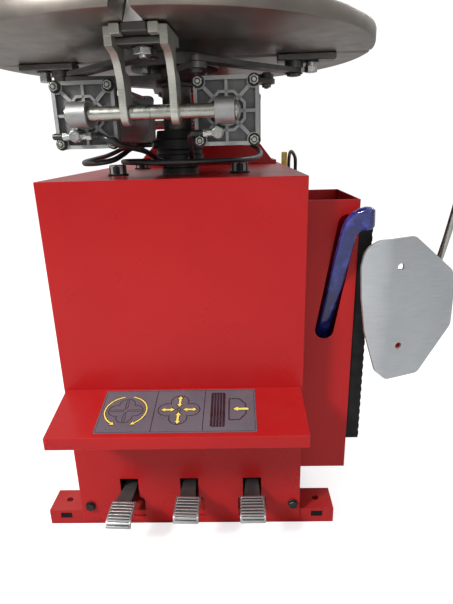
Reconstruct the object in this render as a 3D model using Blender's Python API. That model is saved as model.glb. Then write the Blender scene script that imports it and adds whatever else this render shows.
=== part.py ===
"""Swing-arm tyre changer: cabinet, self-centring turntable, bead breaker, pedals, column and mount head."""
import math

import bmesh
import bpy
from mathutils import Matrix, Vector

for old in list(bpy.data.objects):
    bpy.data.objects.remove(old, do_unlink=True)

# ---------------------------------------------------------------- driving dimensions (metres)
HALF_W = 0.210        # half width of the cabinet
DEPTH = 0.620         # depth of the cabinet
TOP = 0.654           # top face of the cabinet
WALL = 0.003          # cabinet sheet
GAP = 0.0003          # gap between touching pieces
SPINDLE_Y = 0.150     # turntable axis behind the front panel
TURN = math.radians(-3.4)
DISC_Z = 0.840        # underside of the turntable
DISC_T = 0.022
DISC_R = 0.325
CYL_X = 0.0997        # clamp cylinder axes either side of the spindle
CYL_Z = 0.745
PIN_R = 0.205         # cross pins in front of and behind the spindle
STUD_R = 0.2003       # link studs on the slides
PLATE_R = 0.165       # link pins on the centring plate
PLATE_A = math.radians(-70.0)
SWAY = 0.0025         # play of the plate pins in the link eyes over the travel
ARM_PIVOT = (0.262, 0.570)
ROD_END = (0.420, 0.250)
BARREL_Q = (-0.100, 0.250)
BEAD_Z = 0.360
COL_X = 0.030
COL_Y = 0.552
ARM_Z = 1.330         # underside of the swing arm
HEAD_X = 0.075
HEAD_Y = 0.110
HEAD_Z = 1.030        # lower end of the hexagonal shaft
FACETS = 0.50         # share of the nominal facet count kept on round pieces

# ---------------------------------------------------------------- materials
PALETTE = {
    "red_paint": ((0.52, 0.02, 0.025, 1), 0.0, 0.28),
    "black_steel": ((0.02, 0.02, 0.022, 1), 0.4, 0.5),
    "zinc": ((0.62, 0.63, 0.62, 1), 1.0, 0.32),
    "cast_aluminium": ((0.36, 0.37, 0.37, 1), 0.9, 0.5),
    "disc_steel": ((0.22, 0.21, 0.2, 1), 0.9, 0.45),
    "blade_steel": ((0.5, 0.52, 0.53, 1), 0.9, 0.4),
    "rubber": ((0.015, 0.015, 0.016, 1), 0.0, 0.75),
    "blue_sleeve": ((0.03, 0.05, 0.4, 1), 0.0, 0.3),
    "label": ((0.1, 0.13, 0.16, 1), 0.0, 0.5),
    "chrome": ((0.75, 0.76, 0.78, 1), 1.0, 0.12),
    "motor_grey": ((0.2, 0.24, 0.28, 1), 0.3, 0.5),
    "yellow": ((0.85, 0.55, 0.03, 1), 0.0, 0.45),
}
MATS = {}
for key, (rgba, metal, rough) in PALETTE.items():
    m = bpy.data.materials.new(key)
    m.use_nodes = True
    m.diffuse_color = rgba
    bsdf = m.node_tree.nodes["Principled BSDF"]
    bsdf.inputs["Base Color"].default_value = rgba
    bsdf.inputs["Metallic"].default_value = metal
    bsdf.inputs["Roughness"].default_value = rough
    MATS[key] = m


# ---------------------------------------------------------------- modelling helpers
def temp(bm, name="tmp"):
    """A scratch object holding a bmesh."""
    bmesh.ops.recalc_face_normals(bm, faces=bm.faces)
    me = bpy.data.meshes.new(name)
    bm.to_mesh(me)
    bm.free()
    ob = bpy.data.objects.new(name, me)
    bpy.context.scene.collection.objects.link(ob)
    return ob


def drop(ob):
    me = ob.data
    bpy.data.objects.remove(ob, do_unlink=True)
    bpy.data.meshes.remove(me)


def settle(ob):
    """Bake the modifiers of a scratch object into its mesh."""
    dg = bpy.context.evaluated_depsgraph_get()
    me = bpy.data.meshes.new_from_object(ob.evaluated_get(dg))
    old = ob.data
    ob.modifiers.clear()
    ob.data = me
    bpy.data.meshes.remove(old)
    return ob


def box(x0, x1, y0, y1, z0, z1, bevel=0.0, segs=1):
    bm = bmesh.new()
    bmesh.ops.create_cube(bm, size=1.0)
    for v in bm.verts:
        v.co.x = x0 if v.co.x < 0 else x1
        v.co.y = y0 if v.co.y < 0 else y1
        v.co.z = z0 if v.co.z < 0 else z1
    ob = temp(bm)
    if bevel:
        b = ob.modifiers.new("bevel", "BEVEL")
        b.width = bevel
        b.segments = segs
        b.limit_method = "ANGLE"
        settle(ob)
    return ob


def prism(pts, axis, lo, hi):
    """A closed outline pushed along an axis: X takes (y, z), Y takes (x, z), Z takes (x, y)."""
    bm = bmesh.new()
    ring = []
    for a, b in pts:
        if axis == "X":
            ring.append(bm.verts.new((lo, a, b)))
        elif axis == "Y":
            ring.append(bm.verts.new((a, lo, b)))
        else:
            ring.append(bm.verts.new((a, b, lo)))
    face = bm.faces.new(ring)
    out = bmesh.ops.extrude_face_region(bm, geom=[face])
    shift = {"X": Vector((hi - lo, 0, 0)), "Y": Vector((0, hi - lo, 0)), "Z": Vector((0, 0, hi - lo))}[axis]
    bmesh.ops.translate(bm, verts=[g for g in out["geom"] if isinstance(g, bmesh.types.BMVert)], vec=shift)
    return temp(bm)


def arc(cx, cy, r, a0, a1, n):
    """Points on an arc, in degrees."""
    pts = []
    for i in range(n + 1):
        a = math.radians(a0 + (a1 - a0) * i / n)
        pts.append((cx + r * math.cos(a), cy + r * math.sin(a)))
    return pts


def rounded(x0, x1, y0, y1, r, n=3):
    return (arc(x1 - r, y1 - r, r, 0, 90, n) + arc(x0 + r, y1 - r, r, 90, 180, n)
            + arc(x0 + r, y0 + r, r, 180, 270, n) + arc(x1 - r, y0 + r, r, 270, 360, n))


def capsule(p, q, r, n=6):
    """Outline of a straight slot or a link between two centres."""
    a = math.degrees(math.atan2(q[1] - p[1], q[0] - p[0]))
    return arc(q[0], q[1], r, a - 90, a + 90, n) + arc(p[0], p[1], r, a + 90, a + 270, n)


def turn_to(ob, at, axis):
    """Lay a piece built along +Z at a point, along an axis."""
    q = Vector((0, 0, 1)).rotation_difference(Vector(axis).normalized())
    ob.data.transform(Matrix.Translation(Vector(at)) @ q.to_matrix().to_4x4())
    return ob


def sides(n):
    """Facet count for a round piece: an even number, coarser on small pieces."""
    return n if n <= 6 or n > 60 else max(8, 2 * round(n * FACETS / 2))


def bore(r, n, gap=GAP):
    """Radius of a faceted hole whose flats clear a shaft of radius r."""
    return (r + gap) / math.cos(math.pi / sides(n))


def lathe(profile, n=24, at=(0, 0, 0), axis=(0, 0, 1)):
    """A closed (radius, height) outline turned about its axis."""
    n = sides(n)
    bm = bmesh.new()
    rings = []
    for r, z in profile:
        if r < 1e-7:
            rings.append([bm.verts.new((0, 0, z))])
        else:
            rings.append([bm.verts.new((r * math.cos(2 * math.pi * i / n), r * math.sin(2 * math.pi * i / n), z))
                          for i in range(n)])
    count = len(rings)
    flat = []
    for k in range(count):
        a = rings[k]
        b = rings[(k + 1) % count]
        if len(a) == 1 and len(b) == 1:
            continue
        if 1 in (len(a), len(b)) and abs(profile[k][1] - profile[(k + 1) % count][1]) < 1e-7:
            bm.faces.new(b if len(a) == 1 else a)
            flat.append(a[0] if len(a) == 1 else b[0])
            continue
        for i in range(n):
            j = (i + 1) % n
            if len(a) == 1:
                bm.faces.new((a[0], b[i], b[j]))
            elif len(b) == 1:
                bm.faces.new((a[i], a[j], b[0]))
            else:
                bm.faces.new((a[i], a[j], b[j], b[i]))
    for v in flat:
        bm.verts.remove(v)
    return turn_to(temp(bm), at, axis)


def cyl(at, axis, r, h, n=20, chamfer=0.0):
    if chamfer:
        prof = [(0, 0), (r - chamfer, 0), (r, chamfer), (r, h - chamfer), (r - chamfer, h), (0, h)]
    else:
        prof = [(0, 0), (r, 0), (r, h), (0, h)]
    return lathe(prof, n, at, axis)


def ring(at, axis, r0, r1, h, n=24):
    return lathe([(r0, 0), (r1, 0), (r1, h), (r0, h)], n, at, axis)


def hexnut(at, axis, flat, h, hole=0.0):
    """A hexagon head or nut, chamfered at the top."""
    r = flat / 2 / math.cos(math.pi / 6)
    ob = lathe([(0, 0), (r, 0), (r, h * 0.86), (r * 0.9, h), (0, h)], 6, at, axis)
    return ob


def loft(rings, cap=True):
    """A skin through rings with the same number of points."""
    bm = bmesh.new()
    vs = [[bm.verts.new(p) for p in r] for r in rings]
    n = len(vs[0])
    for a, b in zip(vs, vs[1:]):
        for i in range(n):
            j = (i + 1) % n
            bm.faces.new((a[i], a[j], b[j], b[i]))
    if cap:
        bm.faces.new(vs[0][::-1])
        bm.faces.new(vs[-1])
    return temp(bm)


def smooth_path(pts, per=6):
    """A Catmull-Rom curve through route points."""
    p = [Vector(q) for q in pts]
    p = [p[0] * 2 - p[1]] + p + [p[-1] * 2 - p[-2]]
    out = []
    for i in range(1, len(p) - 2):
        for k in range(per):
            t = k / per
            a, b, c, d = p[i - 1], p[i], p[i + 1], p[i + 2]
            out.append(0.5 * ((2 * b) + (c - a) * t + (2 * a - 5 * b + 4 * c - d) * t * t
                              + (3 * b - a - 3 * c + d) * t ** 3))
    out.append(p[-2])
    return out


def tube(pts, r, per=4, res=2, smooth=True):
    """A round tube along a route, from a poly curve."""
    path = smooth_path(pts, per) if smooth else [Vector(q) for q in pts]
    cu = bpy.data.curves.new("tube", "CURVE")
    cu.dimensions = "3D"
    cu.bevel_depth = r
    cu.bevel_resolution = res
    cu.use_fill_caps = True
    sp = cu.splines.new("POLY")
    sp.points.add(len(path) - 1)
    for i, q in enumerate(path):
        sp.points[i].co = (q.x, q.y, q.z, 1)
    co = bpy.data.objects.new("tube", cu)
    bpy.context.scene.collection.objects.link(co)
    dg = bpy.context.evaluated_depsgraph_get()
    me = bpy.data.meshes.new_from_object(co.evaluated_get(dg))
    bpy.data.objects.remove(co, do_unlink=True)
    bpy.data.curves.remove(cu)
    bm = bmesh.new()
    bm.from_mesh(me)
    bpy.data.meshes.remove(me)
    bmesh.ops.remove_doubles(bm, verts=bm.verts, dist=1e-5)
    return temp(bm)


def flat_bar(path, half_w, half_h, up=(0, 0, 1)):
    """A rectangular bar along a plan route; width lies square to the route and to up."""
    p = [Vector(q) for q in path]
    rings = []
    for i, q in enumerate(p):
        d = (p[min(i + 1, len(p) - 1)] - p[max(i - 1, 0)]).normalized()
        u = Vector(up)
        s = d.cross(u).normalized()
        v = s.cross(d).normalized()
        rings.append([q + s * half_w + v * half_h, q - s * half_w + v * half_h,
                      q - s * half_w - v * half_h, q + s * half_w - v * half_h])
    return loft(rings)


def boolean(a, b, kind):
    m = a.modifiers.new("bool", "BOOLEAN")
    m.operation = kind
    m.solver = "EXACT"
    m.object = b
    settle(a)
    drop(b)
    return a


def cut(a, *tools):
    for t in tools:
        boolean(a, t, "DIFFERENCE")
    return a


def fuse(a, *more):
    for t in more:
        boolean(a, t, "UNION")
    return a


def moved(ob, mat):
    ob.data.transform(mat)
    if mat.determinant() < 0:
        ob.data.flip_normals()
    return ob


def copy(ob):
    new = bpy.data.objects.new(ob.name, ob.data.copy())
    bpy.context.scene.collection.objects.link(new)
    return new


ROOT = bpy.data.objects.new("machine", None)
bpy.context.scene.collection.objects.link(ROOT)


def pivot(name, at, parent=None, rot=0.0):
    """An empty on a joint axis."""
    e = bpy.data.objects.new(name, None)
    e.empty_display_size = 0.03
    bpy.context.scene.collection.objects.link(e)
    e.parent = parent or ROOT
    base = world(parent) if parent else Matrix.Identity(4)
    e.matrix_parent_inverse = Matrix.Identity(4)
    e.matrix_basis = base.inverted() @ (Matrix.Translation(Vector(at)) @ Matrix.Rotation(rot, 4, "Z"))
    return e


def world(e):
    m = Matrix.Identity(4)
    while e is not None:
        m = e.matrix_basis @ m
        e = e.parent
    return m


def node(name, mat, parent, *pieces, xf=None, smooth=40):
    """One named sub-part, its shapes joined into one body, carried by its joint's empty."""
    body = fuse(pieces[0], *pieces[1:])
    bm = bmesh.new()
    bm.from_mesh(body.data)
    drop(body)
    if xf is not None:
        bm.transform(xf)
    bmesh.ops.remove_doubles(bm, verts=bm.verts, dist=2e-7)
    bmesh.ops.triangulate(bm, faces=[f for f in bm.faces if len(f.verts) > 4])
    base = world(parent).inverted()
    bm.transform(base)
    me = bpy.data.meshes.new(name)
    bm.to_mesh(me)
    bm.free()
    me.materials.append(MATS[mat])
    for p in me.polygons:
        p.material_index = 0
        p.use_smooth = True
    me.set_sharp_from_angle(angle=math.radians(smooth))
    ob = bpy.data.objects.new(name, me)
    bpy.context.scene.collection.objects.link(ob)
    ob.parent = parent
    return ob


# ---------------------------------------------------------------- cabinet
shell = box(-HALF_W, HALF_W, 0, DEPTH, 0.0325, TOP)
cut(shell, box(-HALF_W + WALL, HALF_W - WALL, WALL, DEPTH + 0.1, -0.1, TOP - WALL))
fuse(shell, box(-HALF_W, HALF_W, 0, WALL, 0.010, 0.040))
PEDAL_X = (-0.113, 0.001, 0.1195)
for px in PEDAL_X:
    cut(shell, prism([(px - 0.0265, 0.019), (px + 0.0265, 0.019), (px + 0.0265, 0.060), (px + 0.017, 0.066),
                      (px + 0.017, 0.107), (px - 0.017, 0.107), (px - 0.017, 0.066), (px - 0.0265, 0.060)],
                     "Y", -0.02, 0.02))
cut(shell, cyl((0, SPINDLE_Y, TOP - 0.02), (0, 0, 1), 0.034, 0.04, 28))
TOP_BOLTS = [(bx, by) for bx in (-0.107, 0.107) for by in (0.122, 0.355)]
for at in TOP_BOLTS:
    cut(shell, cyl((*at, TOP - 0.02), (0, 0, 1), bore(0.0063, 12, 0.0006), 0.04, 12))
for sx, sz in ((-0.192, 0.046), (0.197, 0.048)):
    fuse(shell, cyl((sx, 0.001, sz), (0, -1, 0), 0.0075, 0.0065, 14))
cut(shell, prism(capsule((0.238, BEAD_Z), (0.300, BEAD_Z), 0.024), "X", HALF_W - 0.02, HALF_W + 0.02))
# rear pivot brackets for the bead-breaker arm
for z0 in (BEAD_Z - 0.058, BEAD_Z + 0.046):
    lug = prism([(HALF_W - 0.001, 0.535), (ARM_PIVOT[0], 0.542)] + arc(*ARM_PIVOT, 0.028, -60, 60, 6)
                + [(ARM_PIVOT[0], 0.598), (HALF_W - 0.001, 0.605)], "Z", z0, z0 + 0.012)
    cut(lug, cyl((*ARM_PIVOT, z0 - 0.01), (0, 0, 1), bore(0.0098, 20), 0.04, 20))
    fuse(shell, lug)
# clevis for the bead-breaker cylinder, off the left wall
for z0 in (BEAD_Z - 0.052, BEAD_Z + 0.044):
    lug = prism([(-HALF_W + 0.001, 0.19), (BARREL_Q[0], 0.226)] + arc(*BARREL_Q, 0.024, -90, 90, 8)
                + [(BARREL_Q[0], 0.274), (-HALF_W + 0.001, 0.31)], "Z", z0, z0 + 0.008)
    cut(lug, cyl((*BARREL_Q, z0 - 0.01), (0, 0, 1), bore(0.0080, 16), 0.03, 16))
    fuse(shell, lug)
node("cabinet_shell", "red_paint", ROOT, shell)

cover = box(-0.2045, 0.2045, DEPTH + GAP, DEPTH + GAP + 0.002, 0.040, 0.648)
for i in range(4):
    z = 0.44 + i * 0.030
    cut(cover, prism(capsule((-0.06, z), (0.06, z), 0.006, 2), "Y", DEPTH - 0.01, DEPTH + 0.02))
for sx in (-0.19, 0.19):
    for sz in (0.07, 0.35, 0.62):
        fuse(cover, cyl((sx, DEPTH + GAP + 0.001, sz), (0, 1, 0), 0.006, 0.0035, 10))
node("rear_cover", "red_paint", ROOT, cover)

for foot_name, y0 in (("front_foot", 0.0035), ("rear_foot", 0.5595)):
    y1 = y0 + 0.057
    f = prism([(y0, 0), (y0 + 0.0035, 0), (y0 + 0.0035, 0.0285), (y1 - 0.0035, 0.0285), (y1 - 0.0035, 0),
               (y1, 0), (y1, 0.032), (y0, 0.032)], "X", -0.276, 0.276)
    for s in (-1, 1):
        cut(f, cyl((s * 0.245, y0 + 0.030, 0.02), (0, 0, 1), 0.0065, 0.02, 48))
        cut(f, box(s * 0.244 - 0.011, s * 0.244 + 0.011, y0 - 0.01, y0 + 0.01, 0.013, 0.026))
        cut(f, box(s * 0.244 - 0.011, s * 0.244 + 0.011, y1 - 0.01, y1 + 0.01, 0.013, 0.026))
    node(foot_name, "red_paint", ROOT, f)

ledge = prism([(-GAP, 0.2985), (-0.1165, 0.2782), (-0.1175, 0.2772), (-0.1175, 0.257), (-0.115, 0.257),
               (-0.115, 0.2755), (-GAP, 0.2959)], "X", -0.206, 0.206)
for s in (-1, 1):
    x0 = 0.2035 * s
    x1 = 0.206 * s
    fuse(ledge, prism([(-GAP, 0.2970), (-0.1160, 0.2768), (-0.1160, 0.262), (-0.085, 0.252), (-GAP, 0.236)],
                      "X", min(x0, x1), max(x0, x1)))
fuse(ledge, prism([(-GAP, 0.2970), (-0.0023, 0.2966), (-0.0023, 0.250), (-GAP, 0.250)], "X", -0.2035, 0.2035))
node("pedal_ledge", "red_paint", ROOT, ledge)

BOX_X1 = 0.3013
BOX_Y0 = 0.045
BOX_Y1 = 0.226
sbox = box(HALF_W + GAP, BOX_X1, BOX_Y0, BOX_Y1, 0.097, 0.612)
cut(sbox, box(HALF_W + 0.0028, BOX_X1 - 0.0025, BOX_Y0 + 0.0025, BOX_Y1 - 0.0025, 0.0995, 0.7))
cut(sbox, prism(capsule((0.2515, 0.385), (0.283, 0.572), 0.0165, 8), "Y", BOX_Y0 - 0.02, BOX_Y0 + 0.02))
node("side_box", "red_paint", ROOT, sbox)

pad = box(BOX_X1 + GAP, BOX_X1 + GAP + 0.025, BOX_Y0 + 0.002, BOX_Y1 - 0.004, 0.160, 0.575, 0.003)
node("bead_pad", "rubber", ROOT, pad)

node("arm_pivot_pin", "zinc", ROOT,
     lathe([(0, 0), (0.015, 0), (0.015, 0.005), (0.0098, 0.005), (0.0098, 0.128), (0, 0.128)], 20,
           (*ARM_PIVOT, BEAD_Z + 0.0583 + 0.005), (0, 0, -1)))

# ---------------------------------------------------------------- drive inside the cabinet
gear = box(-0.090, 0.090, 0.070, 0.250, 0.540, 0.645, 0.006)
fuse(gear, box(-0.125, 0.125, 0.079, 0.375, 0.632, TOP - WALL - GAP))
fuse(gear, cyl((-0.110, 0.205, 0.592), (1, 0, 0), 0.026, 0.05, 20))
fuse(gear, cyl((0, SPINDLE_Y, 0.64), (0, 0, 1), 0.0325, 0.024, 28))
cut(gear, cyl((0, SPINDLE_Y, 0.560), (0, 0, 1), bore(0.025, 28), 0.2, 28))
cut(gear, cyl((-0.15, 0.205, 0.592), (1, 0, 0), bore(0.0100, 16), 0.075, 16))
for i in range(4):
    cut(gear, box(-0.075, 0.075, 0.056, 0.076, 0.556 + 0.018 * i, 0.564 + 0.018 * i))
for at in TOP_BOLTS:
    fuse(gear, lathe([(0, 0.642), (0.0063, 0.642), (0.0063, TOP + GAP), (0.0175, TOP + GAP), (0.0175, TOP + 0.003),
                      (0.0145, TOP + 0.003), (0.0145, TOP + 0.0175), (0, TOP + 0.0175)], 16, (*at, 0)))
node("gearbox", "cast_aluminium", ROOT, gear)

MOTOR_Y = 0.460
MOTOR_Z = 0.470
motor = lathe([(0, -0.115), (0.060, -0.115), (0.070, -0.105), (0.070, 0.105), (0.060, 0.120), (0, 0.120)], 28,
              (0, MOTOR_Y, MOTOR_Z), (1, 0, 0))
fuse(motor, box(-0.055, 0.055, MOTOR_Y - 0.05, MOTOR_Y + 0.05, 0.515, TOP - WALL - GAP))
cut(motor, box(-0.040, 0.040, MOTOR_Y - 0.08, MOTOR_Y + 0.08, 0.556, 0.636))
cut(motor, cyl((-0.16, MOTOR_Y, MOTOR_Z), (1, 0, 0), bore(0.0090, 16), 0.08, 16))
node("motor", "motor_grey", ROOT, motor)

j_worm = pivot("j_worm", (-0.150, 0.205, 0.592))


def pulley(r, w, bore_len, shaft_r, at):
    """A V-belt pulley with its shaft stub pointing along +X."""
    h = w / 2
    return lathe([(0, -h), (r, -h), (r, -h + 0.003), (r - 0.010, -0.0035), (r - 0.010, 0.0035), (r, h - 0.003),
                  (r, h), (shaft_r * 1.9, h), (shaft_r * 1.9, h + 0.006), (shaft_r, h + 0.006),
                  (shaft_r, bore_len), (0, bore_len)], 28, at, (1, 0, 0))


wp = pulley(0.054, 0.020, 0.068, 0.0100, (-0.150, 0.205, 0.592))
for i in range(4):
    a = math.pi / 2 * i + 0.4
    cut(wp, cyl((-0.17, 0.205 + 0.031 * math.cos(a), 0.592 + 0.031 * math.sin(a)), (1, 0, 0), 0.008, 0.04, 12))
node("worm_pulley", "cast_aluminium", j_worm, wp)
j_motor = pivot("j_motor", (-0.150, MOTOR_Y, MOTOR_Z))
node("motor_pulley", "black_steel", j_motor, pulley(0.035, 0.020, 0.068, 0.0090, (-0.150, MOTOR_Y, MOTOR_Z)))


def belt_path(c0, r0, c1, r1, n):
    """The outer tangent route round two pulleys, in the y-z plane."""
    d = math.hypot(c1[0] - c0[0], c1[1] - c0[1])
    base = math.atan2(c1[1] - c0[1], c1[0] - c0[0])
    k = math.acos((r0 - r1) / d)
    pts = []
    for i in range(n + 1):
        a = base + k + (2 * math.pi - 2 * k) * i / n
        pts.append((c0[0] + r0 * math.cos(a), c0[1] + r0 * math.sin(a)))
    for i in range(n + 1):
        a = base - k + 2 * k * i / n
        pts.append((c1[0] + r1 * math.cos(a), c1[1] + r1 * math.sin(a)))
    return pts


outer = belt_path((0.205, 0.592), 0.0535, (MOTOR_Y, MOTOR_Z), 0.0345, 14)
inner = belt_path((0.205, 0.592), 0.0455, (MOTOR_Y, MOTOR_Z), 0.0265, 14)
bm = bmesh.new()
loops = []
for pts, hw in ((outer, 0.0048), (inner, 0.0030)):
    loops.append([bm.verts.new((-0.150 + hw, y, z)) for y, z in pts])
    loops.append([bm.verts.new((-0.150 - hw, y, z)) for y, z in pts])
n = len(outer)
order = [loops[0], loops[1], loops[3], loops[2]]
for k in range(4):
    a = order[k]
    b = order[(k + 1) % 4]
    for i in range(n):
        j = (i + 1) % n
        bm.faces.new((a[i], a[j], b[j], b[i]))
node("drive_belt", "rubber", ROOT, temp(bm))

# ---------------------------------------------------------------- pedals
PIVOT_Y = 0.150
PIVOT_Z = 0.088
frame = box(-HALF_W + WALL + GAP, HALF_W - WALL - GAP, 0.235, 0.239, 0.036, 0.150)
fuse(frame, box(-HALF_W + WALL + GAP, -HALF_W + WALL + 0.0035, 0.120, 0.238, 0.036, 0.150))
fuse(frame, box(HALF_W - WALL - 0.0035, HALF_W - WALL - GAP, 0.120, 0.238, 0.036, 0.150))
fuse(frame, box(-HALF_W + WALL + 0.001, HALF_W - WALL - 0.001, 0.120, 0.238, 0.036, 0.039))
fuse(frame, cyl((-HALF_W + WALL + 0.001, PIVOT_Y, PIVOT_Z), (1, 0, 0), 0.008, 2 * (HALF_W - WALL) - 0.002, 16))
node("pedal_frame", "black_steel", ROOT, frame)

valves = [box(-0.150, 0.156, 0.250, 0.290, 0.080, 0.115)]
for px in PEDAL_X:
    v = box(px - 0.020, px + 0.020, 0.2393, 0.300, 0.050, 0.140, 0.003)
    fuse(v, cyl((px, 0.270, 0.139), (0, 0, 1), 0.007, 0.014, 12))
    valves.append(v)
node("air_valves", "cast_aluminium", ROOT, *valves)

PADS = ((-0.1205, -6.0), (-0.0003, -4.5), (0.119, 0.5))
for k, (px, skew) in enumerate(PADS):
    hx = PEDAL_X[k]
    name = ("left", "middle", "right")[k]
    j = pivot("j_pedal_" + name, (hx, PIVOT_Y, PIVOT_Z))
    # cast pad: a plate that curls down at the front, with six cross ribs
    zt = 0.092 if k else 0.082
    prof = [(-0.030, zt), (-0.056, zt - 0.0025), (-0.069, zt - 0.006), (-0.076, zt - 0.0105), (-0.078, zt - 0.018),
            (-0.0745, zt - 0.018), (-0.0722, zt - 0.013), (-0.066, zt - 0.0097), (-0.054, zt - 0.0068),
            (-0.030, zt - 0.006)]
    pad = prism(prof, "X", -0.0225, 0.0225)
    for i in range(6):
        y = -0.0320 - 0.0062 * i
        z = zt - (0.0025 * (-0.030 - y) / 0.026)
        fuse(pad, prism([(y, z - 0.002), (y - 0.0040, z - 0.002), (y - 0.0034, z + 0.0020), (y - 0.0006, z + 0.0020)],
                        "X", -0.0225, 0.0225))
    sh = Matrix.Identity(4)
    sh[0][1] = math.tan(math.radians(-skew)) * 1.0
    shift = Matrix.Translation(Vector((px + math.tan(math.radians(skew)) * -0.05, 0, 0)))
    node("pedal_%s_pad" % name, "cast_aluminium", j, pad, xf=shift @ sh)
    # arm: bent strip from the pad through the panel slot to the pivot eye and the valve fork behind it
    ay = zt - 0.0065
    arm = prism([(-0.052, ay - 0.0010), (-0.024, ay - 0.0004), (0.010, ay - 0.0004), (PIVOT_Y, PIVOT_Z + 0.015),
                 (0.205, PIVOT_Z + 0.010), (0.205, PIVOT_Z - 0.004), (PIVOT_Y, PIVOT_Z - 0.015),
                 (0.010, ay - 0.019), (-0.030, ay - 0.014), (-0.052, ay - 0.0075)], "X", hx - 0.006, hx + 0.006)
    fuse(arm, cyl((hx - 0.013, PIVOT_Y, PIVOT_Z), (1, 0, 0), 0.0165, 0.026, 20))
    cut(arm, cyl((hx - 0.04, PIVOT_Y, PIVOT_Z), (1, 0, 0), bore(0.0080, 16), 0.08, 16))
    cx = px - hx
    if k == 0:
        for v in arm.data.vertices:
            if v.co.y < 0.0:
                v.co.x += cx * min(1.0, (0.0 - v.co.y) / 0.030)
    node("pedal_%s_arm" % name, "black_steel", j, arm)

# ---------------------------------------------------------------- bead breaker
j_barrel = pivot("j_barrel", (*BARREL_Q, BEAD_Z))
bar = lathe([(0, 0.028), (0.075, 0.028), (0.075, 0.230), (0.026, 0.230), (0.026, 0.240), (0.0118, 0.240),
             (0.0118, 0.218), (0.070, 0.218), (0.070, 0.040), (0, 0.040)], 28,
            (*BARREL_Q, BEAD_Z), (1, 0, 0))
fuse(bar, box(BARREL_Q[0] - 0.016, BARREL_Q[0] + 0.030, 0.235, 0.265, BEAD_Z - 0.0435, BEAD_Z + 0.0435))
fuse(bar, cyl((*BARREL_Q, BEAD_Z - 0.056), (0, 0, 1), 0.0080, 0.112, 16))
for x in (0.056, 0.200):
    fuse(bar, cyl((BARREL_Q[0] + x, BARREL_Q[1] + 0.020, BEAD_Z + 0.064), (0, 0, 1), 0.007, 0.016, 10))
node("bead_cylinder", "cast_aluminium", j_barrel, bar)

rod = lathe([(0, 0.046), (0.0670, 0.046), (0.0670, 0.060), (0.0110, 0.060), (0.0110, 0.500), (0.0095, 0.502),
             (0.0095, 0.552), (0, 0.552)], 24, (*BARREL_Q, BEAD_Z), (1, 0, 0))
rod_nut = lathe([(0, 0), (0.026, 0), (0.026, 0.004), (0.017, 0.004), (0.017, 0.020), (0, 0.020)], 6,
                (ROD_END[0] + 0.0255, ROD_END[1], BEAD_Z), (1, 0, 0))
rod_nut2 = cyl((ROD_END[0] - 0.0295, ROD_END[1], BEAD_Z), (1, 0, 0), 0.018, 0.006, 20)
node("bead_rod", "zinc", j_barrel, rod, rod_nut, rod_nut2)

j_arm = pivot("j_bead_arm", (*ARM_PIVOT, BEAD_Z))
route = smooth_path([(0.270, 0.566, BEAD_Z), (0.330, 0.520, BEAD_Z), (0.385, 0.420, BEAD_Z), (0.412, 0.330, BEAD_Z),
                     (0.4205, 0.250, BEAD_Z), (0.420, 0.160, BEAD_Z), (0.408, 0.092, BEAD_Z)], 3)
arm = flat_bar(route, 0.015, 0.030)
fuse(arm, cyl((*ARM_PIVOT, BEAD_Z - 0.0455), (0, 0, 1), 0.024, 0.091, 24))
cut(arm, cyl((*ARM_PIVOT, BEAD_Z - 0.1), (0, 0, 1), bore(0.0098, 20), 0.2, 20))
cut(arm, prism(capsule((0.215, BEAD_Z), (0.285, BEAD_Z), 0.0145, 6), "X", 0.38, 0.46))
# head plate with two ears that take the blade pin
fuse(arm, box(0.386, 0.432, 0.084, 0.092, BEAD_Z - 0.030, BEAD_Z + 0.1220))
for z0 in (BEAD_Z + 0.020, BEAD_Z + 0.110):
    ear = prism([(0.392, 0.086), (0.392, 0.066)] + arc(0.405, 0.062, 0.013, 180, 360, 6) + [(0.418, 0.086)],
                "Z", z0, z0 + 0.012)
    cut(ear, cyl((0.405, 0.062, z0 - 0.01), (0, 0, 1), bore(0.0060, 14), 0.04, 14))
    fuse(arm, ear)
node("bead_arm", "red_paint", j_arm, arm)

handle = tube([(0.4480, 0.100, 0.468), (0.4590, 0.0965, 0.492), (0.4645, 0.091, 0.525), (0.4685, 0.080, 0.575),
               (0.4700, 0.068, 0.620), (0.4690, 0.055, 0.664), (0.4660, 0.044, 0.705)], 0.006, 3, 2)
fuse(handle, box(0.4325, 0.450, 0.088, 0.112, 0.460, 0.480))
node("bead_handle", "zinc", j_arm, handle)

j_blade = pivot("j_blade", (0.405, 0.062, BEAD_Z + 0.07), j_arm)
BETA = math.radians(18.0)
REF = Vector((0.360, 0.020, 0.0))
outline = [(-0.0300, 0.5500), (0.0320, 0.5530), (0.1140, 0.4880), (0.1220, 0.4640), (0.1240, 0.3870),
           (0.0630, 0.3020), (-0.0020, 0.2990), (-0.0230, 0.3170), (-0.0320, 0.3480), (-0.0430, 0.3900),
           (-0.0500, 0.4500), (-0.0530, 0.5040), (-0.0500, 0.5270), (-0.0440, 0.5400)]
bm = bmesh.new()
bm.faces.new([bm.verts.new((u, 0, z)) for u, z in outline])
for u in (-0.040, -0.028, -0.016, -0.004):
    bmesh.ops.bisect_plane(bm, geom=bm.verts[:] + bm.edges[:] + bm.faces[:], plane_co=(u, 0, 0), plane_no=(1, 0, 0))
out = bmesh.ops.extrude_face_region(bm, geom=bm.faces[:])
bmesh.ops.translate(bm, verts=[g for g in out["geom"] if isinstance(g, bmesh.types.BMVert)], vec=(0, 0.004, 0))
blade = temp(bm)
for u, z in ((0.009, 0.503), (0.018, 0.361)):
    cut(blade, cyl((u, -0.02, z), (0, 1, 0), 0.006, 0.05, 16))
for v in blade.data.vertices:
    if v.co.x < -0.004:
        v.co.y += 8.0 * (v.co.x + 0.004) ** 2
lugs = []
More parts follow.
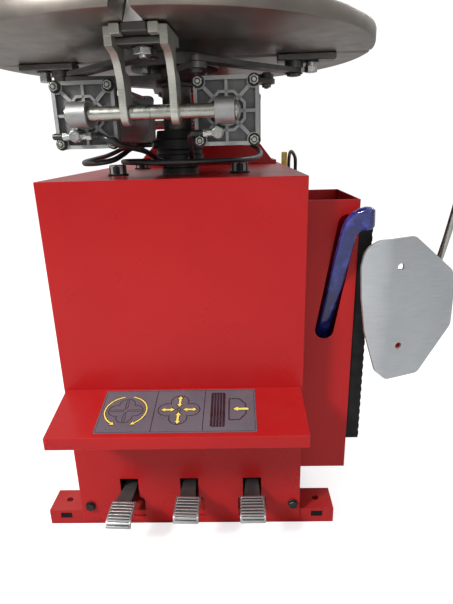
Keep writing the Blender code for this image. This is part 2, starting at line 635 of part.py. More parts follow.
for z0 in (BEAD_Z + 0.0323, BEAD_Z + 0.0975):
    lugs.append(prism([(0.038, 0.002), (0.074, 0.002)] + arc(0.0558, 0.0260, 0.0115, 0, 180, 6),
                      "Z", z0, z0 + 0.012))
place = Matrix.Translation(REF) @ Matrix.Rotation(BETA, 4, "Z")
for lug in lugs:
    fuse(blade, lug)
moved(blade, place)
fuse(blade, cyl((0.405, 0.062, BEAD_Z + 0.012), (0, 0, 1), 0.0060, 0.118, 14))
fuse(blade, cyl((0.405, 0.062, BEAD_Z + 0.1225), (0, 0, 1), 0.0105, 0.007, 14))
node("bead_blade", "blade_steel", j_blade, blade)

# ---------------------------------------------------------------- tyre lever leaning in its slot
A = Vector((0.2495, 0.090, 0.330))
B = Vector((0.2790, 0.022, 0.560))
ax = (B - A).normalized()
side = Vector((1, 0, -0.13)).normalized()
side = (side - ax * side.dot(ax)).normalized()
thick = ax.cross(side).normalized()
rings = []
steps = ((0.0, 0.009, 0.0040, 0.0, 0.0), (0.006, 0.0120, 0.0055, 0.0, 0.0), (0.04, 0.0125, 0.0065, 0.0, 0.0),
         (0.235, 0.0130, 0.0070, 0.0, 0.0), (0.248, 0.0140, 0.0080, 0.0010, 0.0005), (0.259, 0.0160, 0.0090, 0.0045, 0.0025),
         (0.267, 0.0180, 0.0095, 0.0105, 0.0055), (0.272, 0.0188, 0.0095, 0.0180, 0.0090), (0.274, 0.0175, 0.0080, 0.0255, 0.0120),
         (0.2745, 0.0140, 0.0045, 0.0295, 0.0140))
mid = []
for t, hw, ht, dx, dy in steps:
    mid.append(A + ax * t + side * dx + Vector((0, -1, 0)) * dy)
for i, (t, hw, ht, dx, dy) in enumerate(steps):
    d = (mid[min(i + 1, len(mid) - 1)] - mid[max(i - 1, 0)]).normalized()
    w = (thick.cross(d)).normalized()
    th = d.cross(w).normalized()
    c = 0.35
    rings.append([mid[i] + w * hw * a + th * ht * b for a, b in
                  ((1, c), (1 - c * 0.4, 1), (-1 + c * 0.4, 1), (-1, c), (-1, -c), (-1 + c * 0.4, -1),
                   (1 - c * 0.4, -1), (1, -c))])
j_lever = pivot("j_lever", A)
node("tyre_lever", "blue_sleeve", j_lever, loft(rings))

# ---------------------------------------------------------------- turntable
j_table = pivot("j_turntable", (0, SPINDLE_Y, DISC_Z), None, TURN)
LOCAL = Matrix.Translation(Vector((0, SPINDLE_Y, 0))) @ Matrix.Rotation(TURN, 4, "Z")

disc = lathe([(0.030, DISC_Z), (DISC_R - 0.004, DISC_Z), (DISC_R, DISC_Z + 0.004), (DISC_R, DISC_Z + DISC_T - 0.002),
              (DISC_R - 0.002, DISC_Z + DISC_T), (0.030, DISC_Z + DISC_T)], 64)
for k in range(4):
    slot = prism([(-0.0125, DISC_Z - 0.001), (0.0125, DISC_Z - 0.001), (0.0060, DISC_Z + DISC_T + 0.001),
                  (-0.0060, DISC_Z + DISC_T + 0.001)], "X", 0.100, 0.40)
    cut(disc, moved(slot, Matrix.Rotation(math.pi / 2 * k, 4, "Z")))
node("turntable_disc", "disc_steel", j_table, disc, xf=LOCAL)

spindle = lathe([(0, 0.562), (0.025, 0.562), (0.025, 0.7955), (0.034, 0.7955), (0.034, 0.8010), (0.0255, 0.8010),
                 (0.0255, 0.8130), (0.038, 0.8130), (0.038, 0.822), (0.074, 0.822), (0.074, DISC_Z - GAP),
                 (0.0295, DISC_Z - GAP), (0.0295, DISC_Z + DISC_T + GAP), (0.036, DISC_Z + DISC_T + GAP),
                 (0.036, DISC_Z + DISC_T + 0.003), (0.018, DISC_Z + DISC_T + 0.009), (0, DISC_Z + DISC_T + 0.009)],
                28)
heads = [spindle]
for k in range(4):
    a = math.pi / 4 + math.pi / 2 * k
    heads.append(hexnut((0.058 * math.cos(a), 0.058 * math.sin(a), 0.823), (0, 0, -1), 0.013, 0.009))
node("spindle", "zinc", j_table, *heads, xf=LOCAL)

hub = lathe([(0.0253, 0.668), (0.043, 0.668), (0.043, 0.686), (0.040, 0.688), (0.040, 0.694), (0.043, 0.696),
             (0.043, 0.712), (0.040, 0.714), (0.038, 0.727), (0.0253, 0.727)], 28)
for a in (-170, -150, -120, -60):
    ca = math.cos(math.radians(a))
    sa = math.sin(math.radians(a))
    fuse(hub, cyl((0.040 * ca, 0.040 * sa, 0.704 if a == -150 else 0.677), (ca, sa, 0), 0.006, 0.010, 10))
node("air_hub", "black_steel", j_table, hub, xf=LOCAL)

j_plate = pivot("j_plate", (0, 0, -0.0335), j_table)
j_plate.matrix_basis = Matrix.Translation(Vector((0, 0, -0.0335)))
pts = []
for k in range(4):
    a = math.degrees(PLATE_A) + 90 * k
    ca = math.radians(a)
    pts += arc(PLATE_R * math.cos(ca), PLATE_R * math.sin(ca), 0.015, a - 84, a + 84, 6)
    pts += arc(0.0, 0.0, 0.066, a + 30, a + 60, 3)
plate = prism(pts, "Z", 0.8025, 0.8105)
cut(plate, cyl((0, 0, 0.78), (0, 0, 1), bore(0.0255, 28), 0.06, 28))
for k in range(4):
    a = PLATE_A + math.pi / 2 * k
    c = (PLATE_R * math.cos(a), PLATE_R * math.sin(a))
    fuse(plate, cyl((*c, 0.8095), (0, 0, 1), 0.0050, 0.0118, 12))
    fuse(plate, cyl((*c, 0.8195), (0, 0, 1), 0.0080, 0.0020, 12))
    fuse(plate, hexnut((*c, 0.8035), (0, 0, -1), 0.0150, 0.0067))
node("centring_plate", "disc_steel", j_plate, plate, xf=LOCAL)

SIDES = (("front", -90.0), ("right", 0.0), ("rear", 90.0), ("left", 180.0))
slides = {}
for name, ang in SIDES:
    a = math.radians(ang)
    spin = LOCAL @ Matrix.Rotation(a, 4, "Z")
    j = pivot("j_slide_" + name, (0.2 * math.cos(a), 0.2 * math.sin(a), 0), j_table)
    j.matrix_basis = Matrix.Translation(Vector((0.2 * math.cos(a), 0.2 * math.sin(a), 0)))
    slides[name] = j
    body = box(0.172, 0.268, -0.0158, 0.0158, 0.8290, DISC_Z - GAP, 0.0015)
    fuse(body, prism([(-0.0119, DISC_Z - 0.0012), (0.0119, DISC_Z - 0.0012), (0.0050, DISC_Z + DISC_T + 0.0012),
                      (-0.0050, DISC_Z + DISC_T + 0.0012)], "X", 0.178, 0.268))
    claw = prism([(0.205, 0.8624), (0.272, 0.8624), (0.272, 0.868), (0.266, 0.874), (0.270, 0.880), (0.266, 0.886),
                  (0.270, 0.892), (0.262, 0.902), (0.246, 0.902), (0.232, 0.884), (0.205, 0.880)],
                 "Y", -0.024, 0.024)
    fuse(body, claw)
    if name in ("left", "right"):
        fuse(body, cyl((0.2285, 0, 0.8300), (0, 0, -1), 0.0085, 0.0180, 16))
    fuse(body, cyl((STUD_R, 0, 0.8300), (0, 0, -1), 0.0150, 0.0112, 20))
    fuse(body, cyl((STUD_R, 0, 0.8200), (0, 0, -1), 0.0080, 0.0130, 14))
    fuse(body, hexnut((STUD_R, 0, 0.8108), (0, 0, -1), 0.020, 0.0032))
    if name in ("left", "right"):
        node(name + "_slide", "disc_steel", j, body, xf=spin)
        continue
    node(name + "_slide", "disc_steel", j, body, xf=spin)
    fork = []
    for s in (-1, 1):
        y0 = s * 0.0290
        y1 = s * 0.0385
        leg = prism([(0.184, DISC_Z - 0.0035), (0.184, 0.8237), (0.2105, 0.8224), (0.2105, 0.7945),
                     (0.1885, 0.7890), (0.1885, CYL_Z)]
                    + arc(PIN_R, CYL_Z, 0.0165, 180, 360, 8)
                    + [(0.2215, 0.775), (0.232, 0.800), (0.262, 0.816), (0.262, DISC_Z - 0.0035)],
                    "Y", min(y0, y1), max(y0, y1))
        cut(leg, cyl((PIN_R, y0 - 0.02 * s, CYL_Z), (0, s, 0), bore(0.0080, 20), 0.06, 20))
        fork.append(leg)
    for s in (-1, 1):
        fork.append(box(0.2540, 0.2640, min(s * 0.0165, s * 0.0380), max(s * 0.0165, s * 0.0380), 0.8265, 0.8362))
        fork.append(box(0.2630, 0.2700, min(s * 0.0168, s * 0.0292), max(s * 0.0168, s * 0.0292), 0.8270, 0.8382))
    fork.append(box(0.2165, 0.245, -0.030, 0.030, 0.8197, 0.8287))
    fork.append(hexnut((0.2285, 0, 0.8205), (0, 0, -1), 0.022, 0.0105))
    node(name + "_fork", "disc_steel", j, *fork, xf=spin)


def stepped_pin(end, outer_end, clip, at, axis):
    """A cross pin with spacers between the fork legs and outside them, and a retaining washer near each end."""
    half = [(0.0080, 0), (0.0095, 0), (0.0095, 0.0287), (0.0080, 0.0287), (0.0080, 0.0388), (0.0095, 0.0388),
            (0.0095, outer_end), (0.0080, outer_end)]
    if clip:
        half += [(0.0080, clip), (0.0125, clip), (0.0125, clip + 0.003), (0.0080, clip + 0.003)]
    half += [(0.0080, end - 0.001), (0.0070, end), (0, end)]
    return lathe([(r, -y) for r, y in half[:0:-1]] + half[1:], 20, at, axis)


# front cross pin with its spacers
spin = LOCAL @ Matrix.Rotation(math.radians(-90), 4, "Z")
node("front_pin", "zinc", slides["front"], stepped_pin(0.1180, 0.0862, 0.1132, (PIN_R, 0, CYL_Z), (0, 1, 0)), xf=spin)

# two clamp cylinders: ribbed end caps, barrels, tie-rod nuts and banjo fittings
CAP_H = 0.0447
for side_name, s in (("left", -1), ("right", 1)):
    cx = s * CYL_X
    made = {}
    for y0, y1, face in ((-0.184, -0.166, -1), (0.046, 0.064, 1)):
        cap = prism(rounded(cx - CAP_H, cx + CAP_H, CYL_Z - CAP_H, CYL_Z + CAP_H, 0.006, 2), "Y", y0, y1)
        out_y = y0 if face < 0 else y1
        # weight-saving pockets between the ribs
        for qx in (-1, 1):
            for qz in (-1, 1):
                for pts in (((0.010, 0.024), (0.010, 0.039), (0.024, 0.039)),
                            ((0.024, 0.010), (0.039, 0.024), (0.039, 0.010))) if face < 0 else ():
                    tri = [(cx + qx * px, CYL_Z + qz * pz) for px, pz in pts]
                    cut(cap, prism(tri, "Y", min(out_y - face * 0.005, out_y + face * 0.01),
                                   max(out_y - face * 0.005, out_y + face * 0.01)))
        if face < 0:
            ear = prism([(-0.1825, CYL_Z - 0.017), (-0.1825, CYL_Z + 0.017), (-PIN_R, CYL_Z + 0.017)]
                        + arc(-PIN_R, CYL_Z, 0.017, 90, 270, 8), "X", cx - 0.0130, cx + 0.0130)
            fuse(cap, ear)
            cut(cap, cyl((cx - 0.05, -PIN_R, CYL_Z), (1, 0, 0), bore(0.0080, 20), 0.1, 20))
        # tie-rod nuts on their washers
        for nx in (-1, 1):
            for nz in (-1, 1):
                at = (cx + nx * 0.0385, out_y - face * 0.0006, CYL_Z + nz * 0.0385)
                fuse(cap, hexnut(at, (0, face, 0), 0.0115, 0.0080))
        made[face] = cap
    # banjo bolt and its ferrules, under the ear on the front cap
    bx = cx - 0.012
    bz = CYL_Z - 0.0275
    fuse(made[-1], cyl((bx, -0.183, bz), (0, -1, 0), 0.0075, 0.011, 12),
         hexnut((bx, -0.1935, bz), (0, -1, 0), 0.0150, 0.009),
         cyl((bx - 0.021, -0.1890, bz), (1, 0, 0), 0.0055, 0.042 if s < 0 else 0.021, 10))
    node("cap_" + side_name, "cast_aluminium", slides["front"], made[-1], xf=LOCAL)
    barrel = ring((cx, -0.1657, CYL_Z), (0, 1, 0), 0.0352, 0.0385, 0.2137, 28)
    # rear cap, with the rod bore and an elbow fitting below
    cut(made[1], cyl((cx, 0.03, CYL_Z), (0, 1, 0), bore(0.0098, 24), 0.05, 24))
    fuse(made[1], cyl((s * 0.118, 0.063, 0.704), (0, 1, 0), 0.0055, 0.0057, 10))
    fuse(made[1], box(s * 0.118 - 0.006, s * 0.118 + 0.006, 0.050, 0.0635, 0.698, 0.712))
    fuse(barrel, made[1])
    node("barrel_" + side_name, "cast_aluminium", slides["front"], barrel, xf=LOCAL)

# piston rods with pistons and rod eyes, joined by the rear cross pin and its spacers
rods = [stepped_pin(0.125, 0.0885, 0, (0, PIN_R, CYL_Z), (1, 0, 0))]
for s in (-1, 1):
    rods.append(lathe([(0, -0.0640), (0.0338, -0.0640), (0.0338, -0.0480), (0.0098, -0.0480),
                       (0.0098, PIN_R - 0.005), (0, PIN_R - 0.005)], 24, (s * CYL_X, 0, CYL_Z), (0, 1, 0)))
    rods.append(cyl((s * CYL_X - 0.0125, PIN_R, CYL_Z), (1, 0, 0), 0.0145, 0.025, 16))
node("piston_rods", "chrome", slides["rear"], *rods, xf=LOCAL)

# four links from the slides to the centring plate
for name, ang in SIDES:
    a = math.radians(ang)
    j = pivot("j_link_" + name, (0, 0, 0), slides[name])
    j.matrix_basis = Matrix.Translation(Vector(((STUD_R - 0.2) * math.cos(a), (STUD_R - 0.2) * math.sin(a), 0)))
    far = (PLATE_R * math.cos(PLATE_A), PLATE_R * math.sin(PLATE_A))
    link = prism(capsule((STUD_R, 0), far, 0.0125, 6), "Z", 0.8115, 0.8185)
    cut(link, cyl((STUD_R, 0, 0.79), (0, 0, 1), bore(0.0080, 16), 0.03, 16))
    cut(link, cyl((*far, 0.79), (0, 0, 1), bore(0.0050 + SWAY, 20), 0.03, 20))
    node("link_" + name, "disc_steel", j, link, xf=LOCAL @ Matrix.Rotation(a, 4, "Z"))

# air hoses from the rotary hub to the clamp cylinders
HOSE_R = 0.0042


def port(angle, r, z):
    """A point straight out from one of the hub's ports."""
    return (r * math.cos(math.radians(angle)), r * math.sin(math.radians(angle)), z)


BANJO_Z = CYL_Z - 0.0275
node("hose_left_front", "rubber", j_table,
     tube([(-0.0902, -0.189, BANJO_Z), (-0.080, -0.1900, BANJO_Z), (-0.064, -0.2010, 0.7120),
           (-0.050, -0.190, 0.7040), (-0.040, -0.150, 0.6990), (-0.0360, -0.110, 0.6945), (-0.031, -0.075, 0.6860),
           port(-120, 0.062, 0.678), port(-120, 0.0517, 0.677)], HOSE_R, 3), xf=LOCAL)
node("hose_right_front", "rubber", j_table,
     tube([(0.0659, -0.189, BANJO_Z), (0.0605, -0.1892, BANJO_Z), (0.0500, -0.1900, 0.7155),
           (0.043, -0.150, 0.7040), (0.037, -0.105, 0.6960), (0.033, -0.075, 0.6865), port(-60, 0.062, 0.678),
           port(-60, 0.0517, 0.677)], HOSE_R, 3), xf=LOCAL)
node("hose_right_rear", "rubber", j_table,
     tube([(0.118, 0.0697, 0.7040), (0.118, 0.079, 0.7040), (0.131, 0.0860, 0.697), (0.1440, 0.060, 0.686),
           (0.138, -0.020, 0.679), (0.105, -0.085, 0.6775), (0.050, -0.120, 0.6775), (-0.010, -0.126, 0.6775),
           (-0.056, -0.105, 0.6776), (-0.084, -0.068, 0.6777), (-0.086, -0.034, 0.6777), port(-170, 0.066, 0.6771),
           port(-170, 0.0517, 0.677)], HOSE_R, 3), xf=LOCAL)
node("hose_left_rear", "rubber", j_table,
     tube([(-0.118, 0.0697, 0.7040), (-0.118, 0.079, 0.7040), (-0.132, 0.0860, 0.697), (-0.1500, 0.060, 0.687),
           (-0.1520, -0.010, 0.682), (-0.146, -0.075, 0.6795), (-0.132, -0.115, 0.6782), (-0.107, -0.132, 0.6790),
           (-0.086, -0.118, 0.6825), (-0.079, -0.085, 0.690), (-0.072, -0.055, 0.699), port(-150, 0.064, 0.7037),
           port(-150, 0.0517, 0.704)], HOSE_R, 3), xf=LOCAL)

# ---------------------------------------------------------------- column, swing arm and mount head
seat = box(COL_X - 0.170, COL_X + 0.170, 0.478, 0.612, TOP + GAP, TOP + 0.009)
for y0, y1 in ((0.4780, 0.4830),):
    fuse(seat, prism([(-0.144, TOP + 0.004), (0.194, TOP + 0.004), (0.160, 0.702), (-0.100, 0.702)], "Y", y0, y1))
for s in (-1, 1):
    x0 = COL_X + s * 0.0745
    x1 = COL_X + s * 0.0795
    fuse(seat, prism([(0.4790, TOP + 0.004), (0.612, TOP + 0.004), (0.612, 0.78), (0.5695, 0.80), (0.4790, 0.702)],
                     "X", min(x0, x1), max(x0, x1)))
    for y in (0.515, 0.590):
        fuse(seat, hexnut((COL_X + s * 0.125, y, TOP + 0.008), (0, 0, 1), 0.019, 0.011))
cut(seat, box(COL_X - 0.0603, COL_X + 0.0603, 0.4917, 0.6123 + 0.02, TOP - 0.01, 0.9))
node("column_seat", "red_paint", ROOT, seat)

col = box(COL_X - 0.060, COL_X + 0.060, 0.492, 0.612, TOP + GAP, ARM_Z - 0.016)
cut(col, box(COL_X - 0.055, COL_X + 0.055, 0.497, 0.607, TOP - 0.1, ARM_Z - 0.022))
fuse(col, cyl((COL_X, COL_Y, ARM_Z - 0.017), (0, 0, 1), 0.052, 0.0167, 28))
fuse(col, cyl((COL_X, COL_Y, ARM_Z - 0.002), (0, 0, 1), 0.0250, 0.105, 24))
node("column", "red_paint", ROOT, col)

j_swing = pivot("j_swing", (COL_X, COL_Y, ARM_Z))
d = Vector((HEAD_X - COL_X, HEAD_Y - COL_Y, 0))
reach = d.length
away = math.atan2(d.y, d.x)
sw = box(0.030, reach - 0.020, -0.034, 0.034, ARM_Z + 0.010, ARM_Z + 0.082, 0.004)
fuse(sw, cyl((0, 0, ARM_Z), (0, 0, 1), 0.052, 0.092, 28))
cut(sw, cyl((0, 0, ARM_Z - 0.01), (0, 0, 1), bore(0.0250, 24), 0.12, 24))
fuse(sw, prism(rounded(reach - 0.040, reach + 0.038, -0.038, 0.038, 0.006, 2), "Z", ARM_Z - 0.014, ARM_Z + 0.106))
cut(sw, cyl((reach, 0, ARM_Z - 0.05), (0, 0, 1), 0.0205, 0.2, 6))
cut(sw, cyl((reach, -0.02, ARM_Z + 0.060), (0, -1, 0), bore(0.0080, 14), 0.05, 14))
fuse(sw, prism([(0.06, ARM_Z + 0.011), (0.20, ARM_Z + 0.011), (0.06, ARM_Z - 0.012)], "Y", -0.004, 0.004))
SWING = Matrix.Translation(Vector((COL_X, COL_Y, 0))) @ Matrix.Rotation(away, 4, "Z")
node("swing_arm", "red_paint", j_swing, sw, xf=SWING)

j_shaft = pivot("j_shaft", (HEAD_X, HEAD_Y, ARM_Z), j_swing)
shaft = cyl((reach, 0, HEAD_Z), (0, 0, 1), 0.0200, 0.650, 6)
fuse(shaft, cyl((reach, 0, HEAD_Z + 0.640), (0, 0, 1), 0.030, 0.014, 20, 0.002))
node("hex_shaft", "chrome", j_shaft, shaft, xf=SWING)

head = box(-0.022, 0.022, -0.024, 0.024, 0.962, 1.035)
cut(head, cyl((0, 0, 0.9897), (0, 0, 1), 0.0204, 0.1, 6))
hook = prism([(-0.058, 0.915), (-0.044, 0.898), (-0.015, 0.889), (0.030, 0.893), (0.062, 0.912), (0.066, 0.924),
              (0.030, 0.914), (0.010, 0.926), (0.018, 0.964), (-0.018, 0.964), (-0.030, 0.940), (-0.050, 0.930)],
             "Y", -0.016, 0.016)
fuse(head, hook)
node("mount_head", "cast_aluminium", j_shaft, head, xf=SWING @ Matrix.Translation(Vector((reach, 0, HEAD_Z - 0.990))))

at = SWING @ Vector((reach, -0.0383, ARM_Z + 0.060))
side_dir = SWING.to_3x3() @ Vector((0, -1, 0))
j_lock = pivot("j_lock", at, j_swing)
lock = lathe([(0, -0.012), (0.0080, -0.012), (0.0080, GAP), (0.017, GAP), (0.017, 0.020), (0, 0.020)], 14, at, side_dir)
lever_dir = (SWING.to_3x3() @ Vector((0.55, -0.45, 0.72))).normalized()
base = at + side_dir * 0.012
fuse(lock, cyl(base, lever_dir, 0.0055, 0.100, 10))
fuse(lock, lathe([(0, -0.014), (0.010, -0.010), (0.014, 0.0), (0.010, 0.010), (0, 0.014)], 12,
                 base + lever_dir * 0.105, lever_dir))
node("lock_lever", "black_steel", j_lock, lock)

# ---------------------------------------------------------------- air preparation unit and its fixed loop
unit = box(HALF_W + GAP, 0.222, 0.345, 0.470, 0.520, 0.610)
fuse(unit, box(0.221, 0.262, 0.360, 0.400, 0.560, 0.600, 0.003), box(0.221, 0.262, 0.415, 0.455, 0.560, 0.600, 0.003),
     box(0.230, 0.254, 0.398, 0.417, 0.570, 0.590))
fuse(unit, lathe([(0, 0), (0.017, 0), (0.017, 0.030), (0.012, 0.036), (0, 0.036)], 18, (0.242, 0.380, 0.598)))
bowls = []
for y in (0.380, 0.435):
    bowls.append(lathe([(0, 0), (0.008, 0.002), (0.016, 0.012), (0.016, 0.062), (0, 0.062)], 18,
                       (0.242, y, 0.500)))
node("air_unit", "black_steel", ROOT, unit, *bowls)
loop = tube([(0.242, 0.4555, 0.580), (0.242, 0.475, 0.5815), (0.2395, 0.510, 0.600), (0.2350, 0.515, 0.640),
             (0.2335, 0.490, 0.672), (0.2345, 0.455, 0.681), (0.240, 0.428, 0.668), (0.242, 0.4350, 0.640),
             (0.242, 0.4350, 0.6123)], 0.0040, 4)
node("air_loop", "rubber", ROOT, loop)

# ---------------------------------------------------------------- stand the machine on the row frame
bpy.context.view_layer.update()
lo = Vector((1e9, 1e9, 1e9))
hi = Vector((-1e9, -1e9, -1e9))
for ob in bpy.data.objects:
    if ob.type != "MESH":
        continue
    m = world(ob.parent)
    for v in ob.data.vertices:
        p = m @ v.co
        for i in range(3):
            lo[i] = min(lo[i], p[i])
            hi[i] = max(hi[i], p[i])
ROOT.location = (-(lo.x + hi.x) / 2, -(lo.y + hi.y) / 2, -lo.z)
bpy.context.view_layer.update()
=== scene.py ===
"""Looks of the swing-arm tyre changer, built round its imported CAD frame."""
import math

import bmesh
import bpy
from mathutils import Matrix, Vector
from mathutils.geometry import tessellate_polygon


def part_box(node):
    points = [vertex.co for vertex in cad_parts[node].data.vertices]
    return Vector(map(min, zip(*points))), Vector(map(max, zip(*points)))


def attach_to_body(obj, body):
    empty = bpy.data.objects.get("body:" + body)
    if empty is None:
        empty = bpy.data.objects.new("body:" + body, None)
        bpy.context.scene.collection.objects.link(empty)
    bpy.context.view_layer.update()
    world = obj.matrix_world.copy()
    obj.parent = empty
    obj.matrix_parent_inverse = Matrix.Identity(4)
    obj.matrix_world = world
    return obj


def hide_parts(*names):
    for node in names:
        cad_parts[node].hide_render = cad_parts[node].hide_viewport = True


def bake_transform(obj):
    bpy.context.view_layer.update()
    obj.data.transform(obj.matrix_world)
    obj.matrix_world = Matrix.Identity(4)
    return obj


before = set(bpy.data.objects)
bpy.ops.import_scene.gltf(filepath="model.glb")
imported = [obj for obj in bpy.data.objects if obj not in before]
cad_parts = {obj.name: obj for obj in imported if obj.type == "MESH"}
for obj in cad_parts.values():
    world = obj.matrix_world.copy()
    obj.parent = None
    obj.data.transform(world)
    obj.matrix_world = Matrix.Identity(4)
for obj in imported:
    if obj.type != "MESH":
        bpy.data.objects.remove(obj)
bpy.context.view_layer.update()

# ---------------------------------------------------------------- places, in metres
foot_low, foot_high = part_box("front_foot")
ORIGIN = Vector(((foot_low.x + foot_high.x) / 2, foot_low.y - 0.0035, 0.0))
PLACE = Matrix.Translation(ORIGIN)
SPINDLE_Y = 0.15
TURN = math.radians(-3.4)
TABLE = PLACE @ Matrix.Translation((0, SPINDLE_Y, 0)) @ Matrix.Rotation(TURN, 4, "Z")
TOP = 0.654
GAP = 0.0003
DISC_Z = 0.84
DISC_T = 0.022
DISC_R = 0.325
CYL_X = 0.0997
CYL_Z = 0.745
BANJO_Z = CYL_Z - 0.0275
PIN_R = 0.205
EYE_R = 0.0165
PIN_HOLE = 0.0083
NUT_REACH = 0.0378
BOSS_REACH = 0.0365
FORK_BOLT = (0.2285, 0)
STUD_R = 0.2003
PLATE_R = 0.165
PLATE_A = math.radians(-70.0)
PLATE_LOW, PLATE_HIGH = 0.8025, 0.8105
LINK_LOW, LINK_HIGH = 0.8115, 0.8185
FRONT_CAP = (-0.166, -0.184)
REAR_CAP = (0.0465, 0.064)
CAP = 0.0447
BEAD_Z = 0.36
ARM_PIVOT = (0.262, 0.57)
ROD_END = (0.42, 0.25)
BARREL_Q = (-0.1, 0.25)
COL_X = 0.03
COL_Y = 0.552
ARM_Z = 1.33
HEAD_X = 0.075
HEAD_Y = 0.11
HEAD_Z = 1.03
X = (1, 0, 0)
Y = (0, 1, 0)
Z = (0, 0, 1)
DOWN = (0, 0, -1)
FRONT = (0, -1, 0)


# ---------------------------------------------------------------- camera
def add_camera():
    yaw, pitch, roll = -0.0255, 0.3233, 0.0268
    ahead = Vector((math.sin(yaw) * math.cos(pitch), math.cos(yaw) * math.cos(pitch), -math.sin(pitch)))
    level = Vector((math.cos(yaw), -math.sin(yaw), 0))
    below = ahead.cross(level)
    right = level * math.cos(roll) + below * math.sin(roll)
    down = below * math.cos(roll) - level * math.sin(roll)
    data = bpy.data.cameras.new("camera")
    data.lens = 28.08
    data.sensor_width = 36.0
    data.clip_start = 0.01
    cam = bpy.data.objects.new("camera", data)
    bpy.context.scene.collection.objects.link(cam)
    turn = Matrix((right, -down, -ahead)).transposed().to_4x4()
    cam.matrix_world = Matrix.Translation(ORIGIN + Vector((0.0993, -0.7339, 0.7019))) @ turn
    bpy.context.scene.camera = cam


add_camera()


# ---------------------------------------------------------------- materials
class Nodes:
    """A short way to add and join shader nodes."""

    def __init__(self, name):
        self.mat = bpy.data.materials.new(name)
        self.mat.use_nodes = True
        self.tree = self.mat.node_tree
        self.shader = self.tree.nodes["Principled BSDF"]
        self.coord = self.tree.nodes.new("ShaderNodeTexCoord").outputs["Object"]

    def add(self, kind, **settings):
        n = self.tree.nodes.new(kind)
        for key, value in settings.items():
            setattr(n, key, value)
        return n

    def link(self, a, b):
        self.tree.links.new(a, b)

    def mapped(self, scale):
        m = self.add("ShaderNodeMapping")
        m.inputs["Scale"].default_value = scale
        self.link(self.coord, m.inputs["Vector"])
        return m.outputs["Vector"]

    def noise(self, scale, detail=3.0, vector=None, rough=0.55):
        n = self.add("ShaderNodeTexNoise")
        n.inputs["Scale"].default_value = scale
        n.inputs["Detail"].default_value = detail
        n.inputs["Roughness"].default_value = rough
        self.link(vector or self.coord, n.inputs["Vector"])
        return n.outputs["Fac"]

    def span(self, value, a, b, lo, hi):
        m = self.add("ShaderNodeMapRange")
        for key, v in (("From Min", a), ("From Max", b), ("To Min", lo), ("To Max", hi)):
            m.inputs[key].default_value = v
        self.link(value, m.inputs["Value"])
        return m.outputs["Result"]

    def math(self, op, a, b):
        m = self.add("ShaderNodeMath", operation=op)
        for i, v in enumerate((a, b)):
            if isinstance(v, (int, float)):
                m.inputs[i].default_value = v
            else:
                self.link(v, m.inputs[i])
        return m.outputs[0]

    def mix(self, fac, a, b):
        m = self.add("ShaderNodeMix", data_type="RGBA")
        self.link(fac, m.inputs[0])
        for i, v in ((6, a), (7, b)):
            if isinstance(v, tuple):
                m.inputs[i].default_value = (*v, 1)
            else:
                self.link(v, m.inputs[i])
        return m.outputs[2]


def finish(name, base, rough, metal=0.0, other=None, patch=7.0, contrast=(0.35, 0.7), spread=0.06,
        grain=0.15, grain_scale=900.0, depth=0.00015, coat=0.0, coat_rough=0.08, streak=None,
        streak_depth=0.0, dust=0.0, scuff=0.0, scuff_tint=(0.5, 0.5, 0.5), specular=0.5, wave=None):
    """A procedural finish: patchy colour, uneven gloss, grain, streaks (brushing grain on metals, painted
    highlights on the blue sleeve), settled dust and scuffs.
    """
    n = Nodes(name)
    s = n.shader
    s.inputs["Metallic"].default_value = metal
    s.inputs["Specular IOR Level"].default_value = specular
    s.inputs["Coat Weight"].default_value = coat
    s.inputs["Coat Roughness"].default_value = coat_rough
    other = other or tuple(c * 0.82 for c in base)
    cloud = n.noise(patch, 4.0)
    colour = n.mix(n.span(cloud, contrast[0], contrast[1], 0.0, 1.0), base, other)
    gloss = n.span(n.noise(patch * 4.3, 5.0), 0.3, 0.7, rough - spread, rough + spread)
    height = n.math("MULTIPLY", n.noise(grain_scale, 2.0), grain)
    if streak:
        lines = n.noise(1.0, 3.0, n.mapped(streak))
        gloss = n.math("ADD", gloss, n.span(lines, 0.3, 0.7, -spread, spread))
        height = n.math("ADD", height, n.math("MULTIPLY", lines, streak_depth))
        # lighter streaks along the stretch: brushing grain on the metals, painted highlights standing for
        # the clear film's glints on the blue sleeve
        colour = n.mix(n.span(lines, 0.35, 0.75, 0.0, 0.35), colour, tuple(min(1.0, c * 1.25) for c in base))
    if wave:
        rings = n.add("ShaderNodeTexWave", wave_type="RINGS", rings_direction="Z")
        rings.inputs["Scale"].default_value = wave
        rings.inputs["Distortion"].default_value = 0.3
        n.link(n.coord, rings.inputs["Vector"])
        height = n.math("ADD", height, n.math("MULTIPLY", rings.outputs["Fac"], 0.18))
        gloss = n.math("ADD", gloss, n.span(rings.outputs["Fac"], 0.0, 1.0, -0.04, 0.04))
    if scuff:
        marks = n.noise(38.0, 8.0, None, 0.75)
        worn = n.span(marks, 0.66 - scuff * 0.12, 0.7, 0.0, 0.8)
        colour = n.mix(worn, colour, scuff_tint)
        gloss = n.math("ADD", gloss, n.math("MULTIPLY", worn, 0.15))
    if dust:
        facing = n.add("ShaderNodeNewGeometry")
        split = n.add("ShaderNodeSeparateXYZ")
        n.link(facing.outputs["Normal"], split.inputs[0])
        lies = n.math("MULTIPLY", n.span(split.outputs["Z"], 0.6, 1.0, 0.0, dust),
            n.span(n.noise(26.0, 6.0), 0.35, 0.65, 0.3, 1.0))
        colour = n.mix(lies, colour, (0.42, 0.36, 0.31))
        gloss = n.math("ADD", gloss, n.math("MULTIPLY", lies, 0.5))
    n.link(colour, s.inputs["Base Color"])
    n.link(gloss, s.inputs["Roughness"])
    bump = n.add("ShaderNodeBump")
    bump.inputs["Strength"].default_value = 0.6
    bump.inputs["Distance"].default_value = depth
    n.link(height, bump.inputs["Height"])
    n.link(bump.outputs["Normal"], s.inputs["Normal"])
    return n.mat


